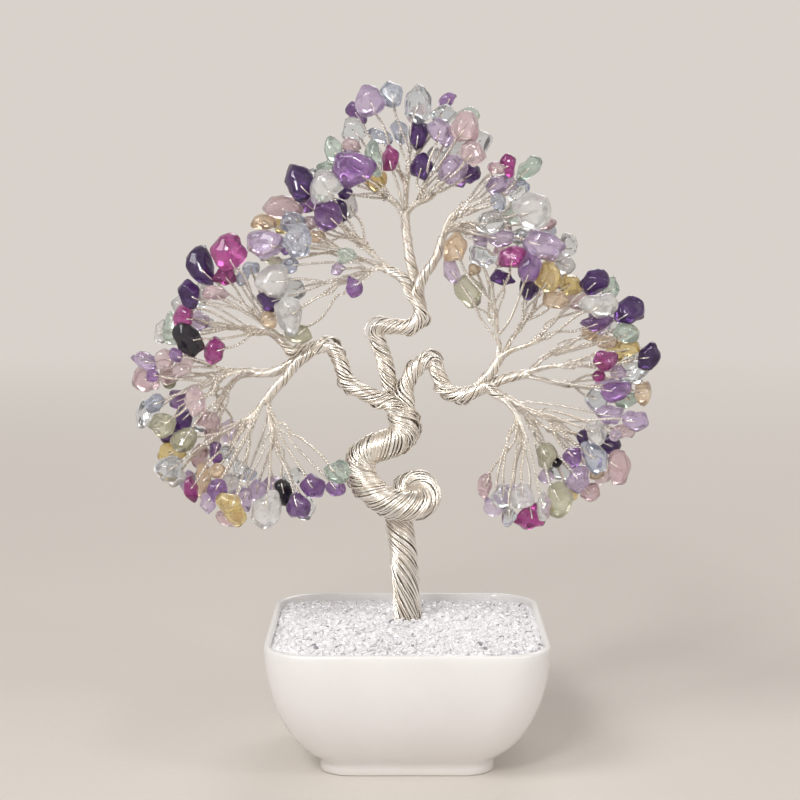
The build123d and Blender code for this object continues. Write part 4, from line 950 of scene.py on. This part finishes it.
def buildTwig(route, shared, stemRings, dice):
    look = twigShape
    _, foot, along = nearestOn(stemRings, route[0])
    start = foot - along * look["sink"] + (route[0] - foot) * look["sinkAside"]
    if shared:
        last = look["lastStraight"] if len(route) == 2 else look["lastElbow"]
        spots = [start] + shared + [route[-2].lerp(route[-1], last), route[-1]]
    else:
        entry = foot.lerp(route[0], look["entry"]) - along * look["entryBack"]
        onward = route[0] + (route[1] - route[0]).normalized() * look["entryOn"]
        spots = [start, entry, onward] + route[1:]
    line, _ = smoothLine([(spot, 0) for spot in spots], look["step"])
    _, sides, others = framesOf(line)
    _, travelled = travelAlong(line)
    length = travelled[-1]
    bend = dice.uniform(-look["bend"], look["bend"]) * length
    weave = dice.uniform(-look["weave"], look["weave"]) * length * np.sin(2 * pi * travelled / length)[:, None]
    sway = np.sin(pi * travelled / length)[:, None] * (sides * bend + others * weave)
    turn = -2 * pi * travelled / (look["pitch"] * dice.uniform(*look["pitchRange"])) + dice.uniform(0, 2 * pi)
    way = (route[-1] - route[-2]).normalized()
    found = stoneFor(route[-1], way)
    pair = []
    for half, face in ((0, Vector((0, -1, 0))), (1, Vector((0, 1, 0)))):
        angle = turn + pi * half
        outward = sides * np.cos(angle)[:, None] + others * np.sin(angle)[:, None]
        helix = line + sway + outward * look["turn"]
        if found:
            face = (face - way * face.dot(way)).normalized()
            hook = [tuple(spot) for spot in hookOver(route[-1], way, found[1], found[2], face)]
            helix = np.vstack([helix, hook])
            outward = np.vstack([outward, [tuple(face)] * len(hook)])
        pair.append((helix, np.ones(len(helix)), outward))
    return pair


for name in sprayNodes:
    stemRings, strands = buildBundle(name, "stem", "branch", wireDice)
    for route, shared in gatherTwigs(twigRoutes(name, stemRings), stemRings, wireDice):
        strands += buildTwig(route, shared, stemRings, wireDice)
    piece = wirePiece(name + "_wires", strands, twigShape["radius"], 0, bundleShape["stem"]["grooveShade"], wireDice)
    finishPiece(piece, silver, [name])
print("sprays made:", len(sprayNodes))

studio = {
    "floor": colour(0.70, 0.655, 0.605), "back": colour(0.69, 0.645, 0.60), "grainScale": 300.0, "grain": (0.3, 0.7),
    "roughness": 0.85, "floorReach": 6, "fade": (0.25, 1.7),  # the floor turns into the plain backdrop
    "skyStrength": 0.5, "aim": (0, 0, 0.12),
    "lamps": (  # place, size and watts
        ("keyLamp", (-0.95, -1.0, 1.35), 0.8, 14.0), ("fillLamp", (1.4, -1.0, 0.8), 1.3, 4.5),
        ("backLamp", (0.3, 1.3, 1.2), 0.7, 6.0), ("sparkLamp", (-0.35, -1.2, 0.9), 0.28, 6.5),
        ("sideSpark", (0.9, -0.7, 0.75), 0.16, 1.6)),
}
photoCamera = {"place": (-2.6 * mm, -728 * mm, 223 * mm), "down": 6.9, "sensor": 36, "clip": (0.01, 50),
               "focalPixels": 1960, "photoWidth": 800}


def buildFloor():
    bpy.ops.mesh.primitive_circle_add(vertices=96, radius=studio["floorReach"], fill_type="NGON")
    floor = bpy.context.object
    floor.name = "studioFloor"
    material, tree, shader = newMaterial("paleFloor")
    place = addNode(tree, "ShaderNodeTexCoord").outputs["Object"]
    grain = spread(tree, noiseAt(tree, place, studio["grainScale"], detail=2), *studio["grain"])
    joinSockets(tree, shader, Base_Color=mixColours(tree, grain, studio["floor"], studio["back"]))
    shader.inputs["Roughness"].default_value = studio["roughness"]
    far = addNode(tree, "ShaderNodeVectorMath", {0: place}, operation="LENGTH").outputs["Value"]
    near, gone = studio["fade"]
    fade = addNode(tree, "ShaderNodeMapRange", {0: far, 1: near, 2: gone}, interpolation_type="SMOOTHSTEP").outputs[0]
    glow = addNode(tree, "ShaderNodeEmission", {"Color": studio["back"], "Strength": 1.0}).outputs[0]
    both = addNode(tree, "ShaderNodeMixShader", {0: fade, 1: shader.outputs[0], 2: glow}).outputs[0]
    tree.links.new(both, tree.nodes["Material Output"].inputs["Surface"])
    giveMaterial(floor, material)


def buildSky():  # the object is lit softly, and what is seen or mirrored behind it is the plain backdrop
    world = bpy.data.worlds.new("studio")
    bpy.context.scene.world = world
    world.use_nodes = True
    tree = world.node_tree
    tree.nodes.clear()
    rays = addNode(tree, "ShaderNodeLightPath").outputs
    seen = sums(tree, "MAXIMUM", rays["Is Camera Ray"], rays["Is Glossy Ray"])
    seen = sums(tree, "MAXIMUM", seen, rays["Is Transmission Ray"])
    soft, plain = (addNode(tree, "ShaderNodeBackground", {"Color": studio["back"], "Strength": strength}).outputs[0]
                   for strength in (studio["skyStrength"], 1.0))
    both = addNode(tree, "ShaderNodeMixShader", {0: seen, 1: soft, 2: plain}).outputs[0]
    addNode(tree, "ShaderNodeOutputWorld", {"Surface": both})


def buildLamps():
    for name, spot, size, power in studio["lamps"]:
        lamp = bpy.data.lights.new(name, "AREA")
        lamp.size = size
        lamp.energy = power
        holder = linkNew(name, lamp)
        holder.location = spot
        holder.rotation_euler = (Vector(studio["aim"]) - Vector(spot)).to_track_quat("-Z", "Y").to_euler()


def buildCamera():
    camera = bpy.data.cameras.new("photoCamera")
    camera.sensor_width = photoCamera["sensor"]
    camera.lens = photoCamera["sensor"] * photoCamera["focalPixels"] / photoCamera["photoWidth"]
    camera.clip_start, camera.clip_end = photoCamera["clip"]
    holder = linkNew("photoCamera", camera)
    holder.location = photoCamera["place"]
    holder.rotation_euler = (radians(90 - photoCamera["down"]), 0, 0)
    bpy.context.scene.camera = holder


buildFloor()
buildSky()
buildLamps()
buildCamera()
bpy.context.scene.view_settings.view_transform = "Standard"
print("studio made")
